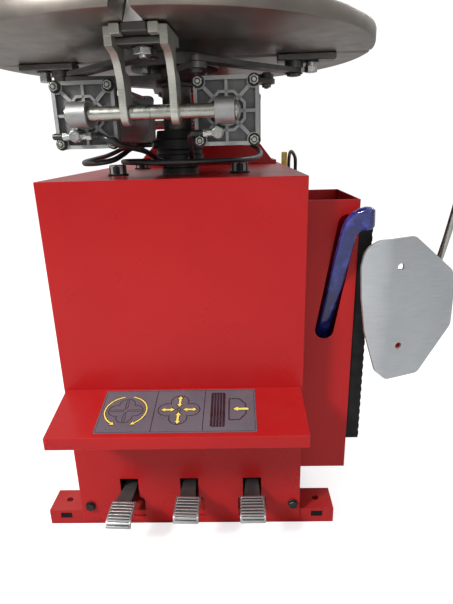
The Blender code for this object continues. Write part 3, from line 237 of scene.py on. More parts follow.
M = {}
M["red"] = finish("red_powder_coat", (0.385, 0.009, 0.01), 0.3, other=(0.33, 0.007, 0.008), patch=3.0,
    grain=0.3, grain_scale=520.0, depth=0.00006, coat=0.04, coat_rough=0.14, dust=0.015, spread=0.04,
    specular=0.24)
M["red_foot"] = finish("red_powder_coat_scuffed", (0.37, 0.011, 0.012), 0.34, other=(0.26, 0.008, 0.009),
    patch=5.0, grain=0.4, grain_scale=520.0, depth=0.00008, coat=0.04, coat_rough=0.2, dust=0.05,
    scuff=0.35, scuff_tint=(0.16, 0.016, 0.016), specular=0.24)
M["black"] = finish("black_steel", (0.018, 0.018, 0.02), 0.42, 0.3, (0.032, 0.03, 0.03), patch=14.0,
    grain=0.4, dust=0.12)
M["blackened"] = finish("blackened_bolt", (0.022, 0.021, 0.021), 0.36, 0.75, (0.045, 0.042, 0.04),
    patch=60.0, grain=0.3, grain_scale=1500.0, scuff=0.3, scuff_tint=(0.16, 0.15, 0.14))
M["zinc"] = finish("zinc_plate", (0.47, 0.475, 0.43), 0.3, 1.0, (0.36, 0.36, 0.32), patch=28.0, grain=0.25,
    grain_scale=1400.0, streak=(60, 60, 900), streak_depth=0.12, scuff=0.2,
    scuff_tint=(0.3, 0.29, 0.27))
M["bolt"] = finish("bright_bolt", (0.56, 0.56, 0.54), 0.28, 1.0, (0.4, 0.4, 0.38), patch=80.0, grain=0.2,
    grain_scale=1800.0)
M["cast"] = finish("cast_aluminium", (0.36, 0.36, 0.355), 0.46, 0.85, (0.25, 0.25, 0.25), patch=22.0,
    grain=1.0, grain_scale=700.0, depth=0.0003, scuff=0.25, scuff_tint=(0.42, 0.42, 0.41))
# a darker copy of cast aluminium: painted shade for the recessed web of the front end caps
M["cast_painted_shade"] = finish("cast_aluminium_painted_shade", (0.19, 0.19, 0.188), 0.6, 0.6, (0.1, 0.1, 0.1), patch=22.0, grain=1.0,
    grain_scale=700.0, depth=0.0003)
M["pedal"] = finish("pedal_aluminium", (0.52, 0.53, 0.53), 0.36, 0.9, (0.34, 0.345, 0.345), patch=30.0,
    grain=0.8, grain_scale=900.0, scuff=0.4, scuff_tint=(0.22, 0.21, 0.2))
M["forged"] = finish("forged_steel", (0.155, 0.148, 0.138), 0.4, 0.85, (0.095, 0.09, 0.084), patch=18.0,
    grain=0.8, grain_scale=420.0, depth=0.0003, scuff=0.35, scuff_tint=(0.27, 0.26, 0.25))
M["plate"] = finish("plate_steel", (0.56, 0.56, 0.5), 0.38, 0.85, (0.37, 0.37, 0.33), patch=20.0, grain=0.6,
    grain_scale=600.0, depth=0.0002, streak=(40, 40, 500), streak_depth=0.06, scuff=0.3,
    scuff_tint=(0.2, 0.19, 0.17))
M["disc"] = finish("turned_steel", (0.265, 0.235, 0.206), 0.38, 0.85, (0.175, 0.154, 0.137), patch=9.0,
    grain=0.35, grain_scale=1100.0, wave=130.0, depth=0.00012, scuff=0.2, scuff_tint=(0.24, 0.21, 0.185))
M["blade"] = finish("satin_blade", (0.5, 0.52, 0.535), 0.36, 0.75, (0.4, 0.42, 0.435), patch=6.0, grain=0.7,
    grain_scale=800.0, streak=(30, 30, 420), streak_depth=0.05)
M["chrome"] = finish("polished_steel", (0.68, 0.69, 0.7), 0.13, 1.0, (0.6, 0.61, 0.62), patch=16.0,
    spread=0.03, grain=0.1, grain_scale=1500.0, streak=(90, 90, 5), streak_depth=0.03)
M["rubber"] = finish("black_rubber", (0.006, 0.006, 0.006), 0.7, other=(0.015, 0.014, 0.014), patch=26.0,
    grain=1.0, grain_scale=1300.0, dust=0.02, scuff=0.15, scuff_tint=(0.03, 0.029, 0.029), specular=0.16)
M["hose"] = finish("black_hose", (0.01, 0.01, 0.011), 0.33, other=(0.018, 0.018, 0.019), patch=40.0,
    grain=0.3, grain_scale=1100.0, dust=0.08)
# the sleeve's lighter blue streaks are painted highlights, standing for glints on its clear plastic film
M["sleeve"] = finish("blue_sleeve", (0.009, 0.014, 0.11), 0.24, other=(0.03, 0.046, 0.27), patch=55.0,
    contrast=(0.52, 0.66), spread=0.08, grain=0.6, grain_scale=160.0, depth=0.0006, coat=0.6,
    coat_rough=0.06, streak=(160, 160, 14), streak_depth=0.35)
M["slate"] = finish("label_slate", (0.09, 0.096, 0.118), 0.3, other=(0.12, 0.125, 0.146), patch=9.0,
    grain=0.3, grain_scale=1500.0, coat=0.6, coat_rough=0.1, depth=0.00005)
M["ink"] = finish("label_ink", (0.008, 0.008, 0.012), 0.3, other=(0.022, 0.021, 0.032), patch=60.0, coat=0.5,
    depth=0.00003)
M["yellow"] = finish("label_yellow", (0.83, 0.68, 0.16), 0.32, other=(0.75, 0.6, 0.12), patch=60.0, coat=0.4,
    depth=0.00003)
M["tag"] = finish("yellow_plastic", (0.83, 0.58, 0.02), 0.34, other=(0.72, 0.47, 0.015), patch=40.0,
    grain=0.5, coat=0.3)
M["motor"] = finish("motor_paint", (0.13, 0.16, 0.19), 0.42, 0.2, (0.1, 0.125, 0.15), patch=12.0, grain=0.8,
    grain_scale=500.0, dust=0.25)
M["floor"] = finish("pale_floor", (0.52, 0.52, 0.52), 0.8, other=(0.51, 0.51, 0.51), patch=1.5, grain=0.2,
    grain_scale=200.0, depth=0.0001)
clear = Nodes("clear_bowl")
clear.shader.inputs["Base Color"].default_value = (0.8, 0.82, 0.82, 1)
clear.shader.inputs["Transmission Weight"].default_value = 0.85
clear.shader.inputs["IOR"].default_value = 1.49
clear.link(clear.span(clear.noise(60.0), 0.3, 0.7, 0.08, 0.2), clear.shader.inputs["Roughness"])
M["clear"] = clear.mat


# ---------------------------------------------------------------- geometry: a shell is (points, faces)
def turned(at, axis):
    q = Vector((0, 0, 1)).rotation_difference(Vector(axis).normalized())
    return Matrix.Translation(Vector(at)) @ q.to_matrix().to_4x4()


def moved(shell, m):
    return [m @ p for p in shell[0]], shell[1]


def lathe(profile, n=48, at=(0, 0, 0), axis=Z):
    """A closed (radius, height) outline turned about its axis."""
    pts, faces, rings = [], [], []
    for r, z in profile:
        count = 1 if r < 1e-7 else n
        rings.append((len(pts), count))
        for i in range(count):
            a = 2 * math.pi * (i + 0.5) / n
            pts.append(Vector((r * math.cos(a), r * math.sin(a), z)))
    for (a, ca), (b, cb) in zip(rings, rings[1:] + rings[:1]):
        for i in range(n):
            j = (i + 1) % n
            if ca > 1 and cb > 1:
                faces.append((a + i, a + j, b + j, b + i))
            elif cb > 1:
                faces.append((a, b + j, b + i))
            elif ca > 1:
                faces.append((a + i, a + j, b))
    return moved((pts, faces), turned(at, axis))


def cyl(at, axis, r, h, n=40, chamfer=0.0):
    c = chamfer
    prof = [(0, 0), (r - c, 0), (r, c), (r, h - c), (r - c, h), (0, h)] if c else [(0, 0), (r, 0), (r, h),
        (0, h)]
    return lathe(prof, n, at, axis)


def ring(at, axis, r0, r1, h, n=48, c=0.0004):
    return lathe([(r0, 0), (r1 - c, 0), (r1, c), (r1, h - c), (r1 - c, h), (r0, h)], n, at, axis)


def prism(outline, axis, lo, hi, holes=()):
    """A closed outline, with holes, pushed along an axis: X takes (y, z), Y takes (x, z), Z takes (x, y)."""
    flat = [p for loop in (outline, *holes) for p in loop]
    if holes:
        caps = tessellate_polygon([[Vector((a, b, 0)) for a, b in loop] for loop in (outline, *holes)])
    else:
        caps = [tuple(range(len(outline)))]
    n = len(flat)
    pts = []
    for w in (lo, hi):
        for a, b in flat:
            pts.append(Vector({"X": (w, a, b), "Y": (a, w, b), "Z": (a, b, w)}[axis]))
    faces = [tuple(c) for c in caps] + [tuple(n + i for i in c) for c in caps]
    start = 0
    for loop in (outline, *holes):
        k = len(loop)
        for i in range(k):
            a, b = start + i, start + (i + 1) % k
            faces.append((a, b, n + b, n + a))
        start += k
    return pts, faces


def box(x0, x1, y0, y1, z0, z1):
    return prism([(x0, y0), (x1, y0), (x1, y1), (x0, y1)], "Z", z0, z1)


def arc(cx, cy, r, a0, a1, n=12):
    return [(cx + r * math.cos(math.radians(a0 + (a1 - a0) * i / n)),
        cy + r * math.sin(math.radians(a0 + (a1 - a0) * i / n))) for i in range(n + 1)]


def circle(cx, cy, r, n=32):
    return arc(cx, cy, r, 0, 360, n)[:-1]


def around(n, r, first=0.0):
    """Points evenly spaced round the origin, the first one at an angle in radians."""
    return [(r * math.cos(first + 2 * math.pi * i / n), r * math.sin(first + 2 * math.pi * i / n))
        for i in range(n)]


def corners(x, z, reach):
    """The four corners of a square about (x, z)."""
    return [(x + reach * i, z + reach * k) for i in (-1, 1) for k in (-1, 1)]


def rounded(x0, x1, y0, y1, r, n=5):
    return (arc(x1 - r, y1 - r, r, 0, 90, n) + arc(x0 + r, y1 - r, r, 90, 180, n)
        + arc(x0 + r, y0 + r, r, 180, 270, n) + arc(x1 - r, y0 + r, r, 270, 360, n))


def capsule(p, q, r, n=16):
    a = math.degrees(math.atan2(q[1] - p[1], q[0] - p[0]))
    return arc(q[0], q[1], r, a - 90, a + 90, n) + arc(p[0], p[1], r, a + 90, a + 270, n)


def fillet(outline, r, n=6):
    """The outline with its corners rounded."""
    out = []
    k = len(outline)
    for i in range(k):
        p, a, b = (Vector(outline[j % k]) for j in (i, i - 1, i + 1))
        da, db = (a - p), (b - p)
        cut = min(r, da.length * 0.45, db.length * 0.45)
        s, e = p + da.normalized() * cut, p + db.normalized() * cut
        for t in range(n + 1):
            t /= n
            out.append(tuple(s * (1 - t) ** 2 + p * 2 * t * (1 - t) + e * t * t))
    return out


def loft(rings, closed=False, caps=True):
    pts = [Vector(p) for r in rings for p in r]
    k, n = len(rings), len(rings[0])
    faces = []
    for a in range(k if closed else k - 1):
        b = (a + 1) % k
        for i in range(n):
            j = (i + 1) % n
            faces.append((a * n + i, a * n + j, b * n + j, b * n + i))
    if caps and not closed:
        faces += [tuple(range(n)), tuple((k - 1) * n + i for i in range(n))]
    return pts, faces


def smooth_path(route, per=6):
    """A Catmull-Rom curve through route points."""
    p = [Vector(q) for q in route]
    p = [p[0] * 2 - p[1]] + p + [p[-1] * 2 - p[-2]]
    out = []
    for i in range(1, len(p) - 2):
        a, b, c, d = p[i - 1:i + 3]
        for k in range(per):
            t = k / per
            out.append(0.5 * (2 * b + (c - a) * t + (2 * a - 5 * b + 4 * c - d) * t * t
                + (3 * b - a - 3 * c + d) * t ** 3))
    return out + [p[-2]]


def sweep(path, section, up=None):
    """A cross-section of (side, up) points carried along a path."""
    rings = []
    side = None
    for i, p in enumerate(path):
        d = (path[min(i + 1, len(path) - 1)] - path[max(i - 1, 0)]).normalized()
        if up is not None:
            side = d.cross(Vector(up)).normalized()
        elif side is None:
            side = d.orthogonal().normalized()
        else:
            side = (side - d * side.dot(d)).normalized()
        over = side.cross(d).normalized()
        rings.append([p + side * a + over * b for a, b in section])
    return loft(rings)


def tube(path, r, n=20):
    return sweep(path, circle(0, 0, r, n))


def hexhead(at, axis, flat, h, washer=0.0, dome=0.12):
    """A hexagon head with a turned crown, on a washer if asked."""
    r = flat / 2 / math.cos(math.pi / 6)
    out = [lathe([(0, 0), (r, 0), (r, h * (1 - dome)), (r * 0.93, h), (0, h)], 6, at, axis),
        cyl(Vector(at) + Vector(axis) * (h * 0.99), axis, flat * 0.44, h * 0.02 + 0.0002)]
    if washer:
        out.append(ring(Vector(at) - Vector(axis) * 0.0004, axis, flat * 0.3, washer, 0.0016))
    return out


def stud_nut(at, axis, flat, h, stud, reach, washer):
    """A nut on a washer, with its stud showing."""
    return hexhead(at, axis, flat, h, washer) + [cyl(at, axis, stud, reach, 24, 0.0006)]


def cap_screw(at, axis, r, h):
    """A socket head screw with a turned recess in its head."""
    prof = [(0, 0), (r, 0), (r, h - 0.0008), (r - 0.0008, h), (r * 0.62, h)]
    sock = [(r * 0.55, h - 0.0002), (r * 0.5, h * 0.45), (0, h * 0.4)]
    return [lathe(prof + sock, 30, at, axis)]


def piece(name, mat, body, shells, at=PLACE, bevel=0.0, segs=2, angle=32, hides=(), keep=False):
    """One visible piece made of closed shells, riding on a CAD body, in place of the CAD nodes it hides."""
    bm = bmesh.new()
    for pts, faces in shells:
        vs = [bm.verts.new(p) for p in pts]
        fs = [bm.faces.new([vs[i] for i in f]) for f in faces]
        bmesh.ops.recalc_face_normals(bm, faces=fs)
    me = bpy.data.meshes.new(name)
    bm.to_mesh(me)
    bm.free()
    me.materials.append(M[mat])
    for p in me.polygons:
        p.use_smooth = True
    me.set_sharp_from_angle(angle=math.radians(angle))
    ob = bpy.data.objects.new(name, me)
    bpy.context.scene.collection.objects.link(ob)
    ob.matrix_world = at
    if bevel:
        round_edges(ob, bevel, segs, angle)
    if keep:
        return ob
    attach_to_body(ob, body)
    if hides:
        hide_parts(*hides)
    return ob


def round_edges(ob, width, segs=2, angle=32):
    b = ob.modifiers.new("edges", "BEVEL")
    b.width = width
    b.segments = segs
    b.limit_method = "ANGLE"
    b.angle_limit = math.radians(angle)
    w = ob.modifiers.new("shading", "WEIGHTED_NORMAL")
    w.keep_sharp = False
    w.weight = 60


def settle(ob):
    """Bake a piece's modifiers into its mesh."""
    graph = bpy.context.evaluated_depsgraph_get()
    me = bpy.data.meshes.new_from_object(ob.evaluated_get(graph))
    ob.modifiers.clear()
    old = ob.data
    ob.data = me
    bpy.data.meshes.remove(old)
    return ob


def carve(ob, *cutters):
    for shell in cutters:
        tool = piece("tool", "zinc", None, [shell], at=ob.matrix_world.copy(), keep=True)
        m = ob.modifiers.new("cut", "BOOLEAN")
        m.operation = "DIFFERENCE"
        m.solver = "EXACT"
        m.object = tool
        settle(ob)
        bpy.data.objects.remove(tool, do_unlink=True)
    return ob


def dress(node, mat, bevel=0.0, segs=2):
    """A CAD node keeps its shape and takes a finish, with softened edges where asked."""
    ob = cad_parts[node]
    ob.data.materials.clear()
    ob.data.materials.append(M[mat])
    if bevel:
        w = ob.modifiers.new("weld", "WELD")
        w.merge_threshold = 0.00001
        d = ob.modifiers.new("flat", "DECIMATE")
        d.decimate_type = "DISSOLVE"
        d.angle_limit = math.radians(1.5)
        round_edges(ob, bevel, segs)


# ---------------------------------------------------------------- CAD nodes that keep their shape
for node, mat, width in (
        ("cabinet_shell", "red", 0.0016), ("rear_cover", "red", 0.0005), ("front_foot", "red_foot", 0.0009),
        ("rear_foot", "red_foot", 0.0009), ("pedal_ledge", "red", 0.0012), ("side_box", "red", 0.0007),
        ("gearbox", "cast", 0), ("motor", "motor", 0), ("worm_pulley", "cast", 0),
        # pedal_frame takes the near-black rubber finish as painted shade, so the cabinet's inside seen
        # through the pedal slots reads dark
        ("motor_pulley", "black", 0), ("drive_belt", "rubber", 0), ("pedal_frame", "rubber", 0.0006),
        ("air_valves", "cast", 0.0008), ("pedal_left_arm", "black", 0.0008),
        ("pedal_middle_arm", "black", 0.0008), ("pedal_right_arm", "black", 0.0008),
        ("bead_cylinder", "cast", 0), ("bead_arm", "red", 0.0015), ("column_seat", "red", 0.0009),
        ("front_slide", "forged", 0.0007), ("rear_slide", "forged", 0.0007),
        ("left_slide", "forged", 0.0007), ("right_slide", "forged", 0.0007)):
    dress(node, mat, width)

# ---------------------------------------------------------------- cabinet fittings
for k, (sx, sz) in enumerate(((-0.192, 0.046), (0.197, 0.048))):
    piece("panel_bolt_%d" % (k + 1), "blackened", "cabinet",
        hexhead((sx, -0.0008, sz), FRONT, 0.015, 0.0062, 0.0098), bevel=0.0003)
shells = []
for bx in (-0.107, 0.107):
    for by in (0.122, 0.355):
        shells += [ring((bx, by, TOP + 0.0004), Z, 0.006, 0.0182, 0.003, c=0.0008)]
        shells += hexhead((bx, by, TOP + 0.0032), Z, 0.0268, 0.0148, dome=0.22)
piece("top_bolts", "blackened", "cabinet", shells, bevel=0.0006)
piece("arm_pivot_bolt", "zinc", "cabinet",
    [lathe([(0, 0), (0.0098, 0), (0.0098, 0.128), (0.0088, 0.129), (0, 0.129)], 48,
    (*ARM_PIVOT, BEAD_Z - 0.065))]
    + hexhead((*ARM_PIVOT, BEAD_Z + 0.0585), Z, 0.026, 0.006, 0.0148), bevel=0.0004,
    hides=("arm_pivot_pin",))
ribs = [prism([(0.3016, 0.16), (0.3248, 0.16), (0.3248, 0.575), (0.3016, 0.575)], "Y", 0.0475, 0.2215)]
for i in range(26):
    z = 0.164 + i * 0.0157
    ribs.append(prism([(0.324, z), (0.326, z + 0.0008), (0.326, z + 0.0092), (0.324, z + 0.01)], "Y", 0.0485,
        0.2205))
for y in (0.075, 0.194):
    for z in (0.205, 0.53):
        ribs.append(cyl((0.324, y, z), X, 0.011, 0.0024, 32))
piece("bead_rubber", "rubber", "cabinet", ribs, bevel=0.0008, hides=("bead_pad",))

shells = []
for s in (-1, 1):
    shells.append(box(s * 0.244 - 0.0107, s * 0.244 + 0.0107, 0.0046, 0.0066, 0.0133, 0.0257))
    for i in range(4):
        u = s * 0.244 - 0.0075 + i * 0.005
        shells.append(box(u - 0.001, u + 0.001, 0.004, 0.005, 0.0145, 0.0245))
piece("foot_plugs", "rubber", "cabinet", shells, bevel=0.0002)
piece("spindle_seal", "black", "cabinet",
    [lathe([(0.0262, 0), (0.033, 0), (0.033, 0.009), (0.03, 0.0112), (0.0262, 0.0112)], 64,
    (0, SPINDLE_Y, TOP + 0.0005))])

# folded pan that closes the cabinet's underside, and the lip behind the rear cover's seams
IN_X = 0.2042
BACK_Y = 0.6198
shells = [box(-IN_X, IN_X, 0.058, BACK_Y - 0.001, 0.0335, 0.035),
    box(-IN_X, IN_X, 0.058, 0.0595, 0.0335, 0.048),
    box(-0.13, -0.118, 0.08, 0.6, 0.0345, 0.0375), box(0.118, 0.13, 0.08, 0.6, 0.0345, 0.0375)]
piece("base_pan", "black", "cabinet", shells, bevel=0.0004)
shells = [box(x0, x1, 0.601, BACK_Y, 0.036, 0.646) for x0, x1 in ((-IN_X, -0.188), (0.188, IN_X))]
shells += [box(-IN_X, IN_X, 0.601, BACK_Y, 0.636, 0.65)]
piece("rear_lip", "black", "cabinet", shells, bevel=0.0006)

# ---------------------------------------------------------------- pedal pads
PEDALS = (("left", -0.113, -0.1205, -6.0, 0.082), ("middle", 0.001, -0.0003, -4.5, 0.092),
    ("right", 0.1195, 0.119, 0.5, 0.092))
for side, hx, px, skew, zt in PEDALS:
    shear = Matrix.Identity(4)
    shear[0][1] = math.tan(math.radians(-skew))
    at = PLACE @ Matrix.Translation((px + math.tan(math.radians(skew)) * -0.05, 0, 0)) @ shear
    top = smooth_path([(0, -0.03, zt), (0, -0.046, zt - 0.0012), (0, -0.062, zt - 0.0036),
        (0, -0.0735, zt - 0.0088), (0, -0.078, zt - 0.0178)], 5)
    low = smooth_path([(0, -0.0745, zt - 0.0178), (0, -0.0708, zt - 0.0122), (0, -0.062, zt - 0.0083),
        (0, -0.046, zt - 0.0066), (0, -0.03, zt - 0.006)], 5)
    outline = [(p.y, p.z) for p in top] + [(p.y, p.z) for p in low]
    shells = [prism(outline, "X", -0.0212, 0.0212)]
    for s in (-1, 1):
        shells.append(prism([(y, z + (0.0005 if i < len(top) else -0.0006))
            for i, (y, z) in enumerate(outline)], "X", min(s * 0.0196, s * 0.0225),
            max(s * 0.0196, s * 0.0225)))
    for i in range(9):
        t = (i + 0.5) / 9.6
        p = top[int(t * (len(top) - 1))]
        q = top[int(t * (len(top) - 1)) + 1]
        d = (q - p).normalized()
        nrm = Vector((0, d.z, -d.y)) * (1 if d.y < 0 else -1)
        if nrm.z < 0 and abs(nrm.z) > abs(nrm.y):
            nrm = -nrm
        if nrm.y > 0 and abs(nrm.y) > abs(nrm.z):
            nrm = -nrm
        root, crest = -nrm * 0.0012, nrm * 0.0021
        ridge = [p + root, p + crest + d * 0.0008, p + crest + d * 0.0024, p + root + d * 0.0032]
        shells.append(prism([(v.y, v.z) for v in ridge], "X", -0.02, 0.02))
    lean = px - hx
    strap = [[(hx + lean * t + u, y, z) for u, z in ((-w, zs), (w, zs), (w, zs - 0.003), (-w, zs - 0.003))]
        for t, y, w, zs in ((1.0, -0.033, 0.015, zt - 0.003), (0.9, -0.027, 0.015, zt - 0.002),
        (0.5, -0.015, 0.014, zt + 0.0005), (0.0, 0.002, 0.0125, zt + 0.0035),
        (0.0, 0.04, 0.0125, zt + 0.006))]
    # dark strips laid into the grooves between the ridges: painted shade in the pad's grooves
    dark = []
    for i in range(8):
        t = (i + 1.12) / 9.6
        p = top[int(t * (len(top) - 1))]
        dark.append(box(-0.019, 0.019, p.y - 0.0011, p.y + 0.0011, p.z - 0.0016, p.z + 0.00035))
    piece("pad_groove_shade_" + side, "blackened", "pedal_" + side, dark, at=at)
    piece("pedal_strap_" + side, "black", "pedal_" + side, [loft(strap)], bevel=0.0006)
    piece("pad_" + side, "pedal", "pedal_" + side, shells, at=at, bevel=0.0006,
        hides=("pedal_%s_pad" % side,))

# ---------------------------------------------------------------- label on the ledge
SLOPE = math.atan2(0.2985 - 0.2782, 0.1162)
label_at = (PLACE @ Matrix.Translation((-0.131, -0.108, 0.27968 + 0.00015)) @ Matrix.Rotation(SLOPE, 4, "X"))
LABEL_W, LABEL_H = 0.2565, 0.1035


def stroke(path, width, lo, hi, closed=False):
    """A flat ribbon along a route of (u, v) points."""
    p = [Vector(q) for q in path]
    k = len(p)
    rings = []
    for i in range(k):
        a = p[(i - 1) % k] if closed else p[max(i - 1, 0)]
        b = p[(i + 1) % k] if closed else p[min(i + 1, k - 1)]
        d = (b - a).normalized()
        s = Vector((-d.y, d.x)) * width / 2
        l, r = p[i] + s, p[i] - s
        rings.append([(l.x, l.y, lo), (r.x, r.y, lo), (r.x, r.y, hi), (l.x, l.y, hi)])
    return loft(rings, closed)


def arrow(tail, tip, half, head, grow=0.0, both=False):
    """An arrow outline, with a head at one or both ends."""
    t, h = Vector(tail), Vector(tip)
    d = (h - t).normalized()
    s = Vector((-d.y, d.x))
    t, h = t - d * grow * (1.8 if both else 1), h + d * grow * 1.8
    hw = half * 2.3 + grow * 1.5
    hl = head + grow * 1.2
    half += grow
    pts = [h, h - d * hl + s * hw, h - d * hl + s * half]
    if both:
        pts += [t + d * hl + s * half, t + d * hl + s * hw, t, t + d * hl - s * hw, t + d * hl - s * half]
    else:
        pts += [t + s * half, t - s * half]
    pts += [h - d * hl - s * half, h - d * hl - s * hw]
    return [tuple(p) for p in pts]


def lobes(cu, cv, r, waist, n=72):
    """Outline of a four-lobed jaw plate."""
    out = []
    for i in range(n):
        a = 2 * math.pi * i / n
        k = abs(math.cos(2 * a)) ** 0.8
        q = waist + (r - waist) * k
        out.append((cu + q * math.cos(a), cv + q * math.sin(a)))
    return out


piece("label_plate", "slate", "cabinet", [prism(rounded(0, LABEL_W, 0, LABEL_H, 0.003), "Z", 0, 0.0003)],
    at=label_at)
ink, sun = [], []
INK, SUN = (0.00028, 0.00042), (0.0004, 0.00052)
for u in (0.0893, 0.171):
    ink.append(stroke([(u, 0.003), (u + 0.0005, LABEL_H - 0.003)], 0.0012, *INK))
frame_line = rounded(0.0025, LABEL_W - 0.0025, 0.0025, LABEL_H - 0.0025, 0.002)
ink.append(stroke(frame_line, 0.0006, *INK, closed=True))
# turning plate, with an arrow round each side
cu, cv = 0.042, 0.052
ink.append(stroke(lobes(cu, cv, 0.0285, 0.0175), 0.0013, *INK, closed=True))
for k in range(4):
    a = math.radians(90 * k)
    p = (cu + 0.008 * math.cos(a), cv + 0.008 * math.sin(a))
    q = (cu + 0.0235 * math.cos(a), cv + 0.0235 * math.sin(a))
    ink.append(stroke(capsule(p, q, 0.002, 5), 0.001, *INK, closed=True))
ink.append(stroke(circle(cu, cv, 0.0042, 20), 0.0008, *INK, closed=True))
for s in (-1, 1):
    a0, a1 = (103, 238) if s < 0 else (77, -58)
    sweep_line = arc(cu, cv, 0.0345, a0, a1, 26)
    ink.append(stroke(sweep_line, 0.0042, *INK))
    sun.append(stroke(sweep_line, 0.0022, *SUN))
    e = Vector(sweep_line[-1])
    d = (e - Vector(sweep_line[-2])).normalized()
    ink.append(prism(arrow(e - d * 0.002, e + d * 0.0065, 0.0019, 0.0068, 0.0009), "Z", *INK))
    sun.append(prism(arrow(e - d * 0.001, e + d * 0.0065, 0.0016, 0.0066), "Z", *SUN))
# jaws moving in and out
cu, cv = 0.13, 0.053
ink.append(stroke(lobes(cu, cv, 0.0345, 0.019), 0.0015, *INK, closed=True))
ink.append(stroke(circle(cu, cv, 0.0034, 20), 0.0013, *INK, closed=True))
for k in range(4):
    a = math.radians(90 * k)
    d = Vector((math.cos(a), math.sin(a)))
    c = Vector((cu, cv))
    stretch = 1.14 if k % 2 else 1.0
    ink.append(prism(arrow(c + d * 0.0066, c + d * 0.0295 * stretch, 0.0021, 0.0062, 0.0009, True), "Z",
        *INK))
    sun.append(prism(arrow(c + d * 0.007, c + d * 0.0293 * stretch, 0.0019, 0.0062, 0.0, True), "Z", *SUN))
# tyre and bead-breaker blade
tread = [prism(rounded(0.1822, 0.2062, 0.012, 0.0945, 0.003, 3), "Z", *INK)]
grooves = [stroke([(u, 0.0135), (u, 0.093)], 0.0008, INK[1] - 0.00002, INK[1] + 0.00006)
    for u in (0.187, 0.1918, 0.1966, 0.2014)]
blade_mark = fillet([(0.2125, 0.0785), (0.229, 0.0785), (0.24, 0.065), (0.24, 0.0415), (0.229, 0.0275),
    (0.2125, 0.0275)], 0.0012, 3)
ink.append(stroke(blade_mark, 0.002, *INK, closed=True))
ink.append(prism(arrow((0.2448, 0.053), (0.219, 0.053), 0.0026, 0.0078, 0.0009), "Z", *INK))
sun.append(prism(arrow((0.2445, 0.053), (0.2192, 0.053), 0.0024, 0.0076), "Z", *SUN))
piece("label_ink", "ink", "cabinet", ink + tread, at=label_at, angle=60)
piece("label_treads", "slate", "cabinet", grooves, at=label_at, angle=60)
piece("label_arrows", "yellow", "cabinet", sun, at=label_at, angle=60)

# ---------------------------------------------------------------- bead breaker
rod = lathe([(0, 0.046), (0.067, 0.046), (0.067, 0.06), (0.011, 0.06), (0.011, 0.5), (0.0095, 0.502),
    (0.0095, 0.551), (0.0088, 0.552), (0, 0.552)], 48, (*BARREL_Q, BEAD_Z), X)
end = (ROD_END[0] + 0.0255, ROD_END[1], BEAD_Z)
piece("press_rod", "chrome", "bead_rod", [rod], bevel=0.0, hides=("bead_rod",))
piece("press_rod_nuts", "zinc", "bead_rod",
    [ring(end, X, 0.0105, 0.0258, 0.004),
    ring((ROD_END[0] - 0.0295, ROD_END[1], BEAD_Z), X, 0.0105, 0.018, 0.006)]
    + hexhead((end[0] + 0.004, end[1], end[2]), X, 0.03, 0.0155), bevel=0.0005)
grip = smooth_path([(0.448, 0.1, 0.468), (0.459, 0.0965, 0.492), (0.4645, 0.091, 0.525),
    (0.4685, 0.08, 0.575), (0.47, 0.068, 0.62), (0.469, 0.055, 0.664), (0.466, 0.0442, 0.7042)], 8)
piece("pull_handle", "zinc", "bead_arm", [tube(grip, 0.006, 24)], bevel=0.0012, angle=50,
    hides=("bead_handle",))
piece("pull_handle_seat", "blackened", "bead_arm",
    [prism(rounded(0.088, 0.112, 0.46, 0.48, 0.003), "X", 0.4327, 0.45),
    ring((0.4515, 0.099, 0.476), (0.72, -0.23, 1.58), 0.0055, 0.0085, 0.005)]
    + hexhead((0.45, 0.107, 0.4665), X, 0.007, 0.003), bevel=0.0008)

# the blade: a satin plate with chamfered corners, one edge rolled back, two holes and a punched mark
OUTLINE = [(-0.03, 0.55), (0.032, 0.553), (0.114, 0.488), (0.122, 0.464), (0.124, 0.387),
    (0.063, 0.302), (-0.002, 0.299), (-0.023, 0.317), (-0.032, 0.348), (-0.043, 0.39),
    (-0.05, 0.45), (-0.053, 0.504), (-0.05, 0.527), (-0.044, 0.54)]
blade_at = PLACE @ Matrix.Translation((0.36, 0.02, 0)) @ Matrix.Rotation(math.radians(18.0), 4, "Z")
shells = [prism(fillet(OUTLINE, 0.006, 6), "Y", 0.0, 0.004,
    [circle(0.009, 0.503, 0.0062, 36), circle(0.018, 0.361, 0.0062, 36)])]
blade = piece("breaker_blade", "blade", "bead_blade", shells, at=blade_at, keep=True)
bm = bmesh.new()
bm.from_mesh(blade.data)
for i in range(16):
    cut_at = -0.05 + i * 0.003
    bmesh.ops.bisect_plane(bm, geom=bm.verts[:] + bm.edges[:] + bm.faces[:], plane_co=(cut_at, 0, 0),
        plane_no=X)
for v in bm.verts:
    if v.co.x < -0.004:
        v.co.y += 8.0 * (v.co.x + 0.004) ** 2
bm.to_mesh(blade.data)
bm.free()
blade.data.set_sharp_from_angle(angle=math.radians(32))
carve(blade, lathe([(0, -0.0014), (0.003, 0.0002), (0.003, 0.002), (0, 0.002)], 20, (0.036, 0.0002, 0.441),
    (0, -1, 0)))
round_edges(blade, 0.0007, 2, 40)
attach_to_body(blade, "bead_blade")
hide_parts("bead_blade")
shells = []
for z0 in (BEAD_Z + 0.0323, BEAD_Z + 0.0975):
    shells.append(prism([(0.038, 0.003), (0.074, 0.003)] + arc(0.0558, 0.026, 0.0115, 0, 180, 16), "Z", z0,
        z0 + 0.012))
piece("blade_lugs", "blade", "bead_blade", shells, at=blade_at, bevel=0.001)
piece("blade_pin", "zinc", "bead_blade",
    [cyl((0.405, 0.062, BEAD_Z + 0.012), Z, 0.006, 0.118, 32, 0.0008)]
    + hexhead((0.405, 0.062, BEAD_Z + 0.1225), Z, 0.018, 0.007, 0.0104), bevel=0.0004)

